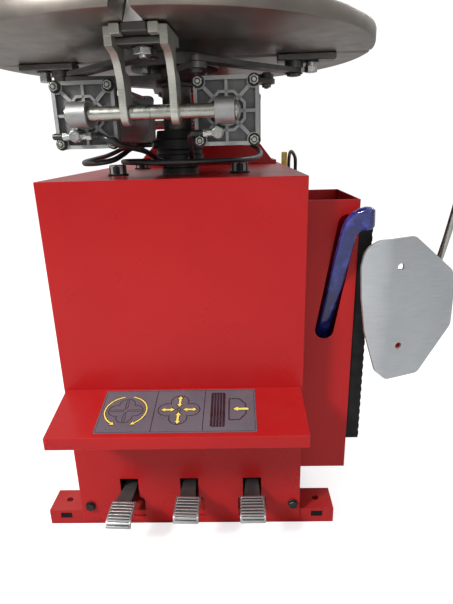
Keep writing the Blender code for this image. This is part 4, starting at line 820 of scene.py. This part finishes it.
# ---------------------------------------------------------------- tyre lever in its blue sleeve
straight_end = Vector((0.2495, 0.09, 0.33))
bent_end = Vector((0.279, 0.022, 0.56))
ax = (bent_end - straight_end).normalized()
side = Vector((1, 0, -0.13)).normalized()
side = (side - ax * side.dot(ax)).normalized()
thick = ax.cross(side).normalized()
STEPS = ((0.0, 0.009, 0.004, 0.0, 0.0), (0.006, 0.012, 0.0055, 0.0, 0.0), (0.04, 0.0125, 0.0065, 0.0, 0.0),
    (0.1, 0.0122, 0.0067, 0.0, 0.0), (0.17, 0.013, 0.0068, 0.0, 0.0), (0.235, 0.013, 0.007, 0.0, 0.0),
    (0.248, 0.014, 0.008, 0.001, 0.0005), (0.259, 0.016, 0.009, 0.0045, 0.0025),
    (0.267, 0.018, 0.0095, 0.0105, 0.0055), (0.272, 0.0188, 0.0095, 0.018, 0.009),
    (0.274, 0.0175, 0.008, 0.0255, 0.012), (0.2745, 0.014, 0.0045, 0.0295, 0.014))
SQUARENESS = 0.55
mid = smooth_path([straight_end + ax * t + side * dx + Vector((0, -1, 0)) * dy for t, hw, ht, dx,
    dy in STEPS], 5)
wide = smooth_path([(hw, ht, 0) for t, hw, ht, dx, dy in STEPS], 5)
rings = []
for i, c in enumerate(mid):
    d = (mid[min(i + 1, len(mid) - 1)] - mid[max(i - 1, 0)]).normalized()
    w = thick.cross(d).normalized()
    th = d.cross(w).normalized()
    hw, ht = wide[i].x, wide[i].y
    ripple = 1.0 + 0.018 * math.sin(i * 2.1) + 0.012 * math.sin(i * 4.7)
    ring_pts = []
    for k in range(24):
        a = 2 * math.pi * k / 24
        u, v = (math.copysign(abs(q) ** SQUARENESS, q) for q in (math.cos(a), math.sin(a)))
        ring_pts.append(c + w * hw * ripple * u + th * ht * v)
    rings.append(ring_pts)
piece("lever_sleeve", "sleeve", "tyre_lever", [loft(rings)], bevel=0.0015, segs=3, angle=60,
    hides=("tyre_lever",))

# ---------------------------------------------------------------- turntable
disc = piece("turntable_plate", "disc", "turntable",
    [lathe([(0.03, 0), (DISC_R - 0.0035, 0), (DISC_R - 0.001, 0.0012), (DISC_R, 0.004),
    (DISC_R, DISC_T - 0.0035), (DISC_R - 0.001, DISC_T - 0.0008), (DISC_R - 0.003, DISC_T),
    (0.03, DISC_T)], 180)], at=TABLE @ Matrix.Translation((0, 0, DISC_Z)), keep=True)
dovetail = prism([(-0.0125, -0.001), (0.0125, -0.001), (0.006, DISC_T + 0.001), (-0.006, DISC_T + 0.001)],
    "X", 0.1, 0.4)
carve(disc, *[moved(dovetail, Matrix.Rotation(math.pi / 2 * k, 4, "Z")) for k in range(4)])
for p in disc.data.polygons:
    p.use_smooth = True
disc.data.set_sharp_from_angle(angle=math.radians(30))
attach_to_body(disc, "turntable")
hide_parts("turntable_disc")

spindle_top = DISC_Z + DISC_T
shells = [lathe([(0, 0.562), (0.025, 0.562), (0.025, 0.7955), (0.034, 0.796), (0.034, 0.8007),
    (0.0255, 0.801), (0.0255, 0.813), (0.0375, 0.813), (0.038, 0.8135), (0.038, 0.822), (0.0735, 0.822),
    (0.074, 0.8225), (0.074, DISC_Z - GAP), (0.0295, DISC_Z - GAP), (0.0295, spindle_top + GAP),
    (0.036, spindle_top + GAP), (0.036, spindle_top + 0.0025), (0.03, spindle_top + 0.0055),
    (0.018, spindle_top + 0.009), (0, spindle_top + 0.009)], 72)]
piece("spindle_flange", "forged", "turntable", shells, at=TABLE, bevel=0.0004, hides=("spindle",))
shells = []
for x, y in around(4, 0.058, math.pi / 4):
    shells += hexhead((x, y, 0.8218), DOWN, 0.0135, 0.0082, 0.0092)
piece("spindle_bolts", "bolt", "turntable", shells, at=TABLE, bevel=0.0003)

# ---------------------------------------------------------------- rotary air union
shells = [lathe([(0.0253, 0.668), (0.042, 0.668), (0.043, 0.669), (0.043, 0.686), (0.04, 0.688),
    (0.04, 0.694), (0.043, 0.696), (0.043, 0.711), (0.04, 0.714), (0.038, 0.726), (0.037, 0.727),
    (0.0253, 0.727)], 72)]
PORTS = ((-170, 0.677), (-150, 0.704), (-120, 0.677), (-60, 0.677))
for a, z in PORTS:
    d = Vector((math.cos(math.radians(a)), math.sin(math.radians(a)), 0))
    shells += [cyl(d * 0.038 + Vector((0, 0, z)), d, 0.0068, 0.0105, 28, 0.0004)]
piece("rotary_union", "black", "turntable", shells, at=TABLE, bevel=0.0004, hides=("air_hub",))
shells = []
for a, z in PORTS:
    d = Vector((math.cos(math.radians(a)), math.sin(math.radians(a)), 0))
    shells += hexhead(d * 0.0455 + Vector((0, 0, z)), d, 0.0105, 0.004)
piece("union_ferrules", "bolt", "turntable", shells, at=TABLE, bevel=0.0002)

# ---------------------------------------------------------------- centring plate, links and jaw slides
pts = []
for k, (x, y) in enumerate(around(4, PLATE_R, PLATE_A)):
    a = math.degrees(PLATE_A) + 90 * k
    pts += arc(x, y, 0.015, a - 84, a + 84, 20)
    pts += arc(0.0, 0.0, 0.066, a + 30, a + 60, 8)
shells = [prism(pts, "Z", PLATE_LOW, PLATE_HIGH, [circle(0, 0, 0.0258, 48)])]
for x, y in around(4, PLATE_R, PLATE_A):
    shells += [cyl((x, y, 0.81), Z, 0.005, 0.0105, 32), cyl((x, y, 0.8193), Z, 0.008, 0.0021, 36, 0.0006)]
piece("synchro_plate", "forged", "centring_plate", shells, at=TABLE, bevel=0.0006, hides=("centring_plate",))
shells = []
for x, y in around(4, PLATE_R, PLATE_A):
    shells += stud_nut((x, y, 0.8022), DOWN, 0.014, 0.0052, 0.0038, 0.0072, 0.0094)
piece("synchro_nuts", "forged", "centring_plate", shells, at=TABLE, bevel=0.0003)

SIDES = (("front", -90.0), ("right", 0.0), ("rear", 90.0), ("left", 180.0))
LINK_FAR = around(4, PLATE_R, PLATE_A)[0]
for name, ang in SIDES:
    spin = TABLE @ Matrix.Rotation(math.radians(ang), 4, "Z")
    shells = [ring((STUD_R, 0, 0.8112), DOWN, 0.0081, 0.0148, 0.0014, 56)]
    piece("stud_washer_" + name, "blackened", name + "_slide", shells, at=spin, bevel=0.0003)
    shells = [prism([(-0.0117, -0.0008), (0.0117, -0.0008), (0.0049, DISC_T + 0.0002),
        (-0.0049, DISC_T + 0.0002)], "X", 0.2677, 0.2688)]
    piece("dovetail_face_" + name, "chrome", name + "_slide", shells,
        at=spin @ Matrix.Translation((0, 0, DISC_Z)), bevel=0.0002)
    shells = stud_nut((STUD_R, 0, 0.8106), DOWN, 0.0203, 0.0036, 0.0078, 0.0042, 0)
    piece("stud_" + name, "forged", name + "_slide", shells, at=spin, bevel=0.0004)
    shells = [lathe([(0, 0), (0.0146, 0), (0.0152, 0.0006), (0.0152, 0.0098), (0, 0.0098)], 56,
        (STUD_R, 0, 0.8189))]
    piece("stud_boss_" + name, "forged", name + "_slide", shells, at=spin, bevel=0.0004)
    if name in ("left", "right"):
        piece("slide_washer_" + name, "blackened", name + "_slide",
            [ring((*FORK_BOLT, 0.8288), DOWN, 0.008, 0.0128, 0.0024, 48)], at=spin, bevel=0.0003)
        piece("slide_bolt_" + name, "bolt", name + "_slide",
            [cyl((*FORK_BOLT, 0.827), DOWN, 0.0087, 0.006, 40, 0.0004)]
            + hexhead((*FORK_BOLT, 0.8212), DOWN, 0.0186, 0.0094), at=spin, bevel=0.0004)
    piece("bar_" + name, "forged", "link_" + name,
        [prism(capsule((STUD_R, 0), LINK_FAR, 0.0125, 20), "Z", LINK_LOW, LINK_HIGH,
        [circle(STUD_R, 0, 0.0084, 36), circle(*LINK_FAR, 0.0077, 36)])],
        at=spin, bevel=0.0006, hides=("link_" + name,))

# ---------------------------------------------------------------- forks and cross pins
for name, ang in (SIDES[0], SIDES[2]):
    spin = TABLE @ Matrix.Rotation(math.radians(ang), 4, "Z")
    shells = []
    outline = ([(0.184, DISC_Z - 0.0035), (0.184, 0.824)] + arc(0.2065, 0.8184, 0.004, 90, 0, 5)
        + arc(0.2065, 0.7985, 0.004, 0, -90, 5) + [(0.196, 0.7915), (0.1895, 0.7865), (0.1885, 0.78)]
        + arc(PIN_R, CYL_Z, EYE_R, 180, 360, 24)
        + [(0.222, 0.768), (0.225, 0.784), (0.232, 0.8), (0.243, 0.8105), (0.262, 0.816),
        (0.262, DISC_Z - 0.0035)])
    for s in (-1, 1):
        lo, hi = sorted((s * 0.029, s * 0.0385))
        shells.append(prism(outline, "Y", lo, hi, [circle(PIN_R, CYL_Z, PIN_HOLE, 40)]))
        shells.append(ring((PIN_R, s * 0.0375, CYL_Z), (0, s, 0), PIN_HOLE, 0.0125, 0.0018, 40))
    for s in (-1, 1):
        lo, hi = sorted((s * 0.0166, s * 0.038))
        shells.append(prism(rounded(lo, hi, 0.8267, 0.8362, 0.0012), "X", 0.254, 0.2638))
    piece(name + "_clevis", "plate", name + "_slide", shells, at=spin, bevel=0.0011, segs=3,
        hides=(name + "_fork",))
    piece(name + "_clevis_bridge", "forged", name + "_slide",
        [prism(rounded(0.2165, 0.245, 0.8197, 0.8287, 0.002), "Y", -0.0295, 0.0295)], at=spin, bevel=0.0006)
    shells = []
    for s in (-1, 1):
        lo, hi = sorted((s * 0.0168, s * 0.0292))
        shells.append(prism(rounded(lo, hi, 0.8268, 0.8382, 0.0014), "X", 0.2632, 0.27))
    piece(name + "_clevis_bolts", "plate", name + "_slide", shells, at=spin, bevel=0.0009)
    piece(name + "_clevis_washer", "blackened", name + "_slide",
        [ring((*FORK_BOLT, 0.8196), DOWN, 0.007, 0.0138, 0.0022, 48)], at=spin, bevel=0.0003)
    shells = stud_nut((*FORK_BOLT, 0.8176), DOWN, 0.0222, 0.0076, 0.0062, 0.011, 0)
    piece(name + "_clevis_nut", "bolt", name + "_slide", shells, at=spin, bevel=0.0004)


def cross_pin(outer, clip, end, at, axis):
    """A cross pin with its spacers and a retaining washer near each end."""
    half = [(0.008, 0), (0.0088, 0.0002), (0.0095, 0.0008), (0.0095, 0.0279), (0.0088, 0.0285),
        (0.008, 0.0287), (0.008, 0.0388), (0.0088, 0.039), (0.0095, 0.0396), (0.0095, outer - 0.0006),
        (0.0088, outer), (0.008, outer)]
    if clip:
        half += [(0.008, clip), (0.0122, clip + 0.0002), (0.0125, clip + 0.0005), (0.0125, clip + 0.0026),
            (0.0122, clip + 0.003), (0.008, clip + 0.003)]
    half += [(0.008, end - 0.0012), (0.0068, end), (0, end)]
    return lathe([(r, -y) for r, y in half[:0:-1]] + half[1:], 56, at, axis)


piece("cross_pin_front", "zinc", "front_slide", [cross_pin(0.0862, 0.1132, 0.118, (0, -PIN_R, CYL_Z), X)],
    at=TABLE, hides=("front_pin",))


# ---------------------------------------------------------------- clamp cylinders
def ribbed_cap(cx, y_in, y_out):
    """A die-cast end cap: frame, web, cross and diagonal ribs, a centre boss and four corner bosses."""
    face = 1 if y_out > y_in else -1
    web = y_in + (y_out - y_in) * 0.55
    lo, hi = sorted((y_in, web))
    back = prism(rounded(cx - CAP + 0.0003, cx + CAP - 0.0003, CYL_Z - CAP + 0.0003, CYL_Z + CAP - 0.0003,
        0.007), "Y", lo, hi)
    shells = [back]
    lo, hi = sorted((web - face * 0.001, y_out))
    inner = rounded(cx - CAP + 0.0052, cx + CAP - 0.0052, CYL_Z - CAP + 0.0052, CYL_Z + CAP - 0.0052, 0.003)
    shells.append(prism(rounded(cx - CAP, cx + CAP, CYL_Z - CAP, CYL_Z + CAP, 0.007), "Y", lo, hi, [inner]))
    top = y_out - face * 0.0012
    lo, hi = sorted((web - face * 0.001, top))
    for k in range(8):
        a = math.pi / 4 * k
        wide = 0.0028 if k % 2 else 0.0024
        reach = 0.05 if k % 2 else 0.043
        rib = [(0.01, -wide), (reach, -wide * 0.8), (reach, wide * 0.8), (0.01, wide)]
        c, s = math.cos(a), math.sin(a)
        shells.append(prism([(cx + x * c - z * s, CYL_Z + x * s + z * c) for x, z in rib], "Y", lo, hi))
    shells.append(lathe([(0, 0), (0.02, 0), (0.0195, 0.006), (0.0185, 0.0066), (0, 0.0066)], 48,
        (cx, web - face * 0.001, CYL_Z), (0, face, 0)))
    eighth = math.pi / 8
    octagon = [(cx + x, CYL_Z + z) for x, z in around(8, 0.0265 / math.cos(eighth), eighth)]
    hole = [(cx + (x - cx) * 0.86, CYL_Z + (z - CYL_Z) * 0.86) for x, z in octagon]
    shells.append(prism(octagon, "Y", lo, hi, [hole]))
    for x, z in corners(cx, CYL_Z, BOSS_REACH):
        shells.append(cyl((x, web - face * 0.001, z), (0, face, 0), 0.0088, abs(y_out - web) + 0.0012, 36,
            0.0006))
    return shells


for side_name, s in (("left", -1), ("right", 1)):
    cx = s * CYL_X
    shells = ribbed_cap(cx, *FRONT_CAP)
    shells.append(prism([(-0.1825, CYL_Z - EYE_R), (-0.1825, CYL_Z + EYE_R), (-PIN_R, CYL_Z + EYE_R)]
        + arc(-PIN_R, CYL_Z, EYE_R, 90, 270, 24), "X", cx - 0.013, cx + 0.013,
        [circle(-PIN_R, CYL_Z, PIN_HOLE, 40)]))
    # the web takes the darker cast finish as painted shade in the cap's recess behind the ribs
    piece("cap_web_" + side_name, "cast_painted_shade", "front_slide", shells[:1], at=TABLE, bevel=0.0005)
    piece("end_cap_" + side_name, "cast", "front_slide", shells[1:], at=TABLE, bevel=0.0007,
        hides=("cap_" + side_name,))
    shells, dark = [], []
    for x, z in corners(cx, CYL_Z, NUT_REACH):
        dark.append(ring((x, -0.1842, z), FRONT, 0.003, 0.0084, 0.0016, 32))
        dark.append(ring((x, -0.1908, z), FRONT, 0.0028, 0.0042, 0.0006, 28, 0.0001))
        shells += stud_nut((x, -0.1842, z), FRONT, 0.0114, 0.0066, 0.0029, 0.008, 0)
    piece("tie_nuts_" + side_name, "zinc", "front_slide", shells, at=TABLE, bevel=0.0003)
    piece("tie_washers_" + side_name, "blackened", "front_slide", dark, at=TABLE)
    bx = cx - 0.012
    shells = [cyl((bx, -0.1835, BANJO_Z), FRONT, 0.0082, 0.0105, 36, 0.0006)]
    shells += hexhead((bx, -0.194, BANJO_Z), FRONT, 0.015, 0.0082)
    shells += [cyl((bx - 0.016, -0.189, BANJO_Z), X, 0.0052, 0.01)]
    shells += hexhead((bx - 0.0145, -0.189, BANJO_Z), (-1, 0, 0), 0.01, 0.0062)
    if s < 0:
        shells += [cyl((bx, -0.189, BANJO_Z), X, 0.0052, 0.015)]
        shells += hexhead((bx + 0.0145, -0.189, BANJO_Z), X, 0.01, 0.0062)
    piece("banjo_" + side_name, "bolt", "front_slide", shells, at=TABLE, bevel=0.0004)
    if s < 0:
        piece("blanked_port", "hose", "front_slide",
            [lathe([(0, 0), (0.0046, 0), (0.0046, 0.012), (0.0036, 0.015), (0, 0.0155)], 28,
            (bx - 0.0205, -0.189, BANJO_Z), (-1, 0, 0))], at=TABLE, bevel=0.0003)
    # round barrel, rear cap and tie rods
    shells = [lathe([(0.0352, 0), (0.0385, 0), (0.0385, 0.213), (0.0352, 0.213)], 72, (cx, -0.1657, CYL_Z),
        Y)]
    piece("barrel_tube_" + side_name, "blade", "front_slide", shells, at=TABLE,
        hides=("barrel_" + side_name,))
    shells = ribbed_cap(cx, *REAR_CAP)
    shells.append(lathe([(0.0102, 0), (0.0145, 0), (0.0145, 0.0019), (0.0102, 0.0019)], 40,
        (cx, 0.0625, CYL_Z), Y))
    shells += [box(s * 0.118 - 0.0062, s * 0.118 + 0.0062, 0.05, 0.0635, 0.698, 0.712)]
    piece("rear_cap_" + side_name, "cast", "front_slide", shells, at=TABLE, bevel=0.0007)
    shells = [cyl((s * 0.118, 0.063, 0.704), Y, 0.0055, 0.006, 28)]
    for x, z in corners(cx, CYL_Z, NUT_REACH):
        if z > CYL_Z or (x - cx) * s < 0:
            shells += stud_nut((x, 0.0642, z), Y, 0.0112, 0.0066, 0.0028, 0.0078, 0.0075)
        shells.append(cyl((x, -0.1665, z), Y, 0.003, 0.214, 16))
    piece("tie_rods_" + side_name, "bolt", "front_slide", shells, at=TABLE, bevel=0.0)

shells = [cross_pin(0.0872, 0, 0.125, (0, PIN_R, CYL_Z), X)]
for s in (-1, 1):
    shells.append(lathe([(0, -0.064), (0.0338, -0.064), (0.0338, -0.048), (0.0098, -0.048),
        (0.0098, PIN_R - 0.005), (0, PIN_R - 0.005)], 56, (s * CYL_X, 0, CYL_Z), Y))
    shells.append(cyl((s * CYL_X - 0.0125, PIN_R, CYL_Z), X, 0.0145, 0.025, 48, 0.001))
piece("clamp_rods", "chrome", "rear_slide", shells, at=TABLE, hides=("piston_rods",))

# ---------------------------------------------------------------- air hoses of the clamp cylinders
HOSE_R = 0.0042


def port(angle, r, z):
    return (r * math.cos(math.radians(angle)), r * math.sin(math.radians(angle)), z)


HOSES = {
    "left_front": [(-0.0902, -0.189, BANJO_Z), (-0.08, -0.19, BANJO_Z), (-0.064, -0.201, 0.712),
    (-0.05, -0.19, 0.704), (-0.04, -0.15, 0.699), (-0.036, -0.11, 0.6945),
    (-0.031, -0.075, 0.686), port(-120, 0.062, 0.678), port(-120, 0.0517, 0.677)],
    "right_front": [(0.0659, -0.189, BANJO_Z), (0.0605, -0.1892, BANJO_Z), (0.05, -0.19, 0.7155),
    (0.043, -0.15, 0.704), (0.037, -0.105, 0.696), (0.033, -0.075, 0.6865), port(-60, 0.062, 0.678),
    port(-60, 0.0517, 0.677)],
    "right_rear": [(0.118, 0.0697, 0.704), (0.118, 0.079, 0.704), (0.131, 0.086, 0.697),
    (0.144, 0.06, 0.686), (0.138, -0.02, 0.679), (0.105, -0.085, 0.6775), (0.05, -0.12, 0.6775),
    (-0.01, -0.126, 0.6775), (-0.056, -0.105, 0.6776), (-0.084, -0.068, 0.6777), (-0.086, -0.034, 0.6777),
    port(-170, 0.066, 0.6771), port(-170, 0.0517, 0.677)],
    "left_rear": [(-0.118, 0.0697, 0.704), (-0.118, 0.079, 0.704), (-0.132, 0.086, 0.697),
    (-0.15, 0.06, 0.687), (-0.152, -0.01, 0.682), (-0.146, -0.075, 0.6795), (-0.132, -0.115, 0.6782),
    (-0.107, -0.132, 0.679), (-0.086, -0.118, 0.6825), (-0.079, -0.085, 0.69), (-0.072, -0.055, 0.699),
    port(-150, 0.064, 0.7037), port(-150, 0.0517, 0.704)],
}
for name, route in HOSES.items():
    path = [TABLE @ p for p in smooth_path(route, 10)]
    hose = piece("air_hose_" + name, "hose", None, [tube(path, HOSE_R, 20)], at=Matrix.Identity(4),
        keep=True)
    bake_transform(hose)
    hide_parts("hose_" + name)

# ---------------------------------------------------------------- column, swing arm and mount head
shells = [box(COL_X - 0.06, COL_X + 0.06, 0.492, 0.612, TOP + GAP, ARM_Z - 0.016)]
piece("column_tube", "red", "cabinet", shells, bevel=0.004, segs=3, hides=("column",))
piece("column_head", "zinc", "cabinet",
    [cyl((COL_X, COL_Y, ARM_Z - 0.0165), Z, 0.052, 0.0162, 72, 0.001),
    cyl((COL_X, COL_Y, ARM_Z - 0.002), Z, 0.025, 0.105, 56, 0.0015)])
shells = []
for s in (-1, 1):
    for y in (0.515, 0.59):
        shells += hexhead((COL_X + s * 0.125, y, TOP + 0.0088), Z, 0.0195, 0.0104, 0.0145)
piece("column_bolts", "blackened", "cabinet", shells, bevel=0.0004)

span = Vector((HEAD_X - COL_X, HEAD_Y - COL_Y, 0))
reach = span.length
SWING = PLACE @ Matrix.Translation((COL_X, COL_Y, 0)) @ Matrix.Rotation(math.atan2(span.y, span.x), 4, "Z")
hexagon = [(reach + x, y) for x, y in around(6, 0.0207, math.pi / 6)]
shells = [prism(rounded(0.03, reach - 0.02, -0.034, 0.034, 0.004), "Z", ARM_Z + 0.01, ARM_Z + 0.082),
    lathe([(0.0256, 0), (0.051, 0), (0.052, 0.001), (0.052, 0.091), (0.051, 0.092), (0.0256, 0.092)], 72,
    (0, 0, ARM_Z)), prism(rounded(reach - 0.04, reach + 0.038, -0.038, 0.038, 0.007), "Z", ARM_Z - 0.014,
    ARM_Z + 0.106, [hexagon]), prism([(0.045, ARM_Z + 0.011), (0.2, ARM_Z + 0.011), (0.055, ARM_Z - 0.012)],
    "Y", -0.004, 0.004)]
piece("arm_casting", "red", "swing_arm", shells, at=SWING, bevel=0.0022, segs=3, hides=("swing_arm",))
piece("arm_cap", "blackened", "swing_arm",
    [lathe([(0.0135, 0), (0.03, 0), (0.03, 0.002), (0.028, 0.004), (0.0135, 0.004)], 48,
    (0, 0, ARM_Z + 0.0922)), ring((reach, 0, ARM_Z + 0.1062), Z, 0.0245, 0.034, 0.003, 60)], at=SWING,
    bevel=0.0003)
hexbar = [(reach + x, y) for x, y in around(6, 0.02, math.pi / 6)]
piece("slide_shaft", "chrome", "hex_shaft", [prism(hexbar, "Z", HEAD_Z, HEAD_Z + 0.642)], at=SWING,
    bevel=0.0012, hides=("hex_shaft",))
piece("shaft_knob", "black", "hex_shaft",
    [lathe([(0, 0), (0.0285, 0), (0.03, 0.0015), (0.03, 0.011), (0.027, 0.0135), (0.01, 0.014), (0, 0.014)],
    56, (reach, 0, HEAD_Z + 0.64))], at=SWING)

DROP = SWING @ Matrix.Translation((reach, 0, HEAD_Z - 0.99))
shells = [prism(rounded(-0.0235, 0.0235, -0.024, 0.024, 0.006), "Z", 0.962, 1.035)]
hook = smooth_path([(-0.058, 0, 0.915), (-0.048, 0, 0.901), (-0.03, 0, 0.8925), (-0.005, 0, 0.8895),
    (0.028, 0, 0.8935), (0.052, 0, 0.904), (0.065, 0, 0.92), (0.05, 0, 0.9195), (0.03, 0, 0.915),
    (0.014, 0, 0.922), (0.0135, 0, 0.94), (0.018, 0, 0.964), (-0.018, 0, 0.964), (-0.028, 0, 0.942),
    (-0.044, 0, 0.931)], 4)
shells.append(prism([(p.x, p.z) for p in hook], "Y", -0.016, 0.016))
piece("duck_head", "cast", "hex_shaft", shells, at=DROP, bevel=0.003, segs=4, angle=50,
    hides=("mount_head",))
shells = []
for z in (0.985, 1.015):
    shells += cap_screw((0, -0.0235, z), FRONT, 0.0055, 0.005)
shells += [cyl((-0.0385, -0.0164, 0.9125), (0, 1, 0), 0.0075, 0.0328, 32, 0.001)]
piece("head_screws", "bolt", "hex_shaft", shells, at=DROP)

# lock lever on the side of the arm's head
at = Vector((reach, -0.0383, ARM_Z + 0.06))
out_dir = Vector((0, -1, 0))
lever_dir = Vector((0.55, -0.45, 0.72)).normalized()
base = at + out_dir * 0.012
shells = [lathe([(0, -0.012), (0.008, -0.012), (0.008, GAP), (0.016, GAP), (0.017, 0.0012), (0.017, 0.019),
    (0.015, 0.02), (0, 0.02)], 40, at, out_dir), cyl(base, lever_dir, 0.0055, 0.102, 28)]
piece("clamp_lever", "blackened", "lock_lever", shells, at=SWING, bevel=0.0004, hides=("lock_lever",))
piece("clamp_knob", "black", "lock_lever",
    [lathe([(0, -0.014), (0.0065, -0.0135), (0.0105, -0.01), (0.0135, -0.004), (0.0138, 0.002),
    (0.0115, 0.0085), (0.007, 0.0125), (0, 0.014)], 40, base + lever_dir * 0.105, lever_dir)], at=SWING)

# ---------------------------------------------------------------- air preparation unit
UNIT_X = 0.242
REGULATOR_Y, OILER_Y = 0.38, 0.435
LOOP_R = 0.004
shells = [prism(rounded(0.345, 0.47, 0.52, 0.61, 0.006), "X", 0.2103, 0.214),
    box(0.2135, 0.222, 0.362, 0.452, 0.563, 0.597)]
for y in (REGULATOR_Y, OILER_Y):
    shells.append(prism(rounded(0.2215, 0.262, y - 0.02, y + 0.02, 0.005), "Z", 0.56, 0.599))
    shells.append(ring((UNIT_X, y, 0.554), Z, 0.012, 0.0182, 0.0075))
shells.append(cyl((UNIT_X, 0.398, 0.58), Y, 0.009, 0.02, 36))
shells += [cyl((UNIT_X, OILER_Y, 0.598), Z, 0.01, 0.012, 32, 0.0006)]
piece("air_service_unit", "black", "cabinet", shells, bevel=0.001, hides=("air_unit",))
knob = [(0, 0), (0.0165, 0), (0.017, 0.001), (0.017, 0.022), (0.0145, 0.03), (0.012, 0.0345), (0.009, 0.036),
    (0, 0.036)]
shells = [lathe(knob, 48, (UNIT_X, REGULATOR_Y, 0.598))]
for x, y in around(18, 0.0165):
    shells.append(cyl((UNIT_X + x, REGULATOR_Y + y, 0.6), Z, 0.0014, 0.019, 8))
piece("regulator_knob", "black", "cabinet", shells)
shells = []
for y in (REGULATOR_Y, OILER_Y):
    shells.append(lathe([(0, 0), (0.005, 0), (0.008, 0.002), (0.0135, 0.007), (0.016, 0.014), (0.016, 0.058),
        (0.014, 0.058), (0.014, 0.015), (0.012, 0.009), (0.007, 0.0045), (0, 0.003)], 40,
        (UNIT_X, y, 0.5)))
piece("filter_bowls", "clear", "cabinet", shells, angle=50)
shells = []
for y in (REGULATOR_Y, OILER_Y):
    shells.append(cyl((UNIT_X, y, 0.512), Z, 0.0075, 0.046, 28, 0.001))
    shells.append(cyl((UNIT_X, y, 0.4985), DOWN, 0.0035, 0.004, 20))
piece("filter_cores", "bolt", "cabinet", shells)
loop = smooth_path([(UNIT_X, 0.4555, 0.58), (UNIT_X, 0.475, 0.5815), (0.2395, 0.51, 0.6),
    (0.235, 0.515, 0.64), (0.2335, 0.49, 0.672), (0.2345, 0.455, 0.681), (0.24, 0.428, 0.668),
    (UNIT_X, OILER_Y, 0.64), (UNIT_X, OILER_Y, 0.6123)], 10)
loop_hose = piece("air_feed_loop", "hose", "cabinet", [tube([PLACE @ p for p in loop], LOOP_R, 24)],
    at=Matrix.Identity(4), hides=("air_loop",))
shells = [ring((UNIT_X, 0.4545, 0.58), Y, 0.004, 0.0078, 0.008, 36),
    ring((UNIT_X, OILER_Y, 0.6105), Z, 0.004, 0.0078, 0.008, 36)]
piece("air_feed_ferrules", "bolt", "cabinet", shells)
shells = [prism(rounded(0.496, 0.52, 0.645, 0.68, 0.003), "X", 0.2165, 0.2285)]
piece("yellow_tag", "tag", "cabinet", shells, bevel=0.0006)

# ---------------------------------------------------------------- floor and light
FLOOR_SIZE = 24.0
FLOOR_GLOW = 0.66
SKY_LOW = 0.3
SKY_TOP = 0.95
BACKDROP = 1.05
bpy.ops.mesh.primitive_plane_add(size=FLOOR_SIZE, location=(ORIGIN.x, ORIGIN.y, 0.0))
floor = bpy.context.object
floor.name = "floor"
floor.data.materials.append(M["floor"])
glow = M["floor"].node_tree
attach = glow.links.new
to_camera = glow.nodes.new("ShaderNodeLightPath").outputs["Is Camera Ray"]
lift = glow.nodes.new("ShaderNodeMath")
lift.operation = "MULTIPLY"
lift.inputs[1].default_value = FLOOR_GLOW
attach(to_camera, lift.inputs[0])
attach(lift.outputs[0], glow.nodes["Principled BSDF"].inputs["Emission Strength"])
glow.nodes["Principled BSDF"].inputs["Emission Color"].default_value = (1, 1, 1, 1)

world = bpy.data.worlds.new("studio")
bpy.context.scene.world = world
world.use_nodes = True
sky = world.node_tree
join = sky.links.new
dome = sky.nodes["Background"]
direction = sky.nodes.new("ShaderNodeTexCoord").outputs["Generated"]
height = sky.nodes.new("ShaderNodeSeparateXYZ")
join(direction, height.inputs[0])
fade = sky.nodes.new("ShaderNodeMapRange")
for socket, value in (("From Min", -0.1), ("From Max", 0.9), ("To Min", SKY_LOW), ("To Max", SKY_TOP)):
    fade.inputs[socket].default_value = value
join(height.outputs["Z"], fade.inputs["Value"])
join(fade.outputs["Result"], dome.inputs["Strength"])
dome.inputs["Color"].default_value = (1.0, 1.0, 1.0, 1)
white = sky.nodes.new("ShaderNodeBackground")
white.inputs["Color"].default_value = (1.0, 1.0, 1.0, 1)
white.inputs["Strength"].default_value = BACKDROP
seen = sky.nodes.new("ShaderNodeLightPath")
both = sky.nodes.new("ShaderNodeMixShader")
join(seen.outputs["Is Camera Ray"], both.inputs[0])
join(dome.outputs[0], both.inputs[1])
join(white.outputs[0], both.inputs[2])
join(both.outputs[0], sky.nodes["World Output"].inputs["Surface"])


def area_light(name, at, aim, size, power):
    data = bpy.data.lights.new(name, "AREA")
    data.shape = "RECTANGLE"
    data.size, data.size_y = size
    data.energy = power
    ob = bpy.data.objects.new(name, data)
    bpy.context.scene.collection.objects.link(ob)
    ob.location = ORIGIN + Vector(at)
    ob.rotation_euler = (ORIGIN + Vector(aim) - ob.location).to_track_quat("-Z", "Y").to_euler()


area_light("key", (-1.9, -1.6, 2.25), (0.0, 0.0, 0.35), (0.55, 0.55), 105)
area_light("rim", (1.6, 1.4, 2.0), (0.0, 0.3, 0.7), (0.8, 0.8), 18)
area_light("front", (0.9, -2.4, 1.1), (0.0, 0.1, 0.6), (1.0, 1.0), 6)
bpy.context.scene.view_settings.view_transform = "Standard"
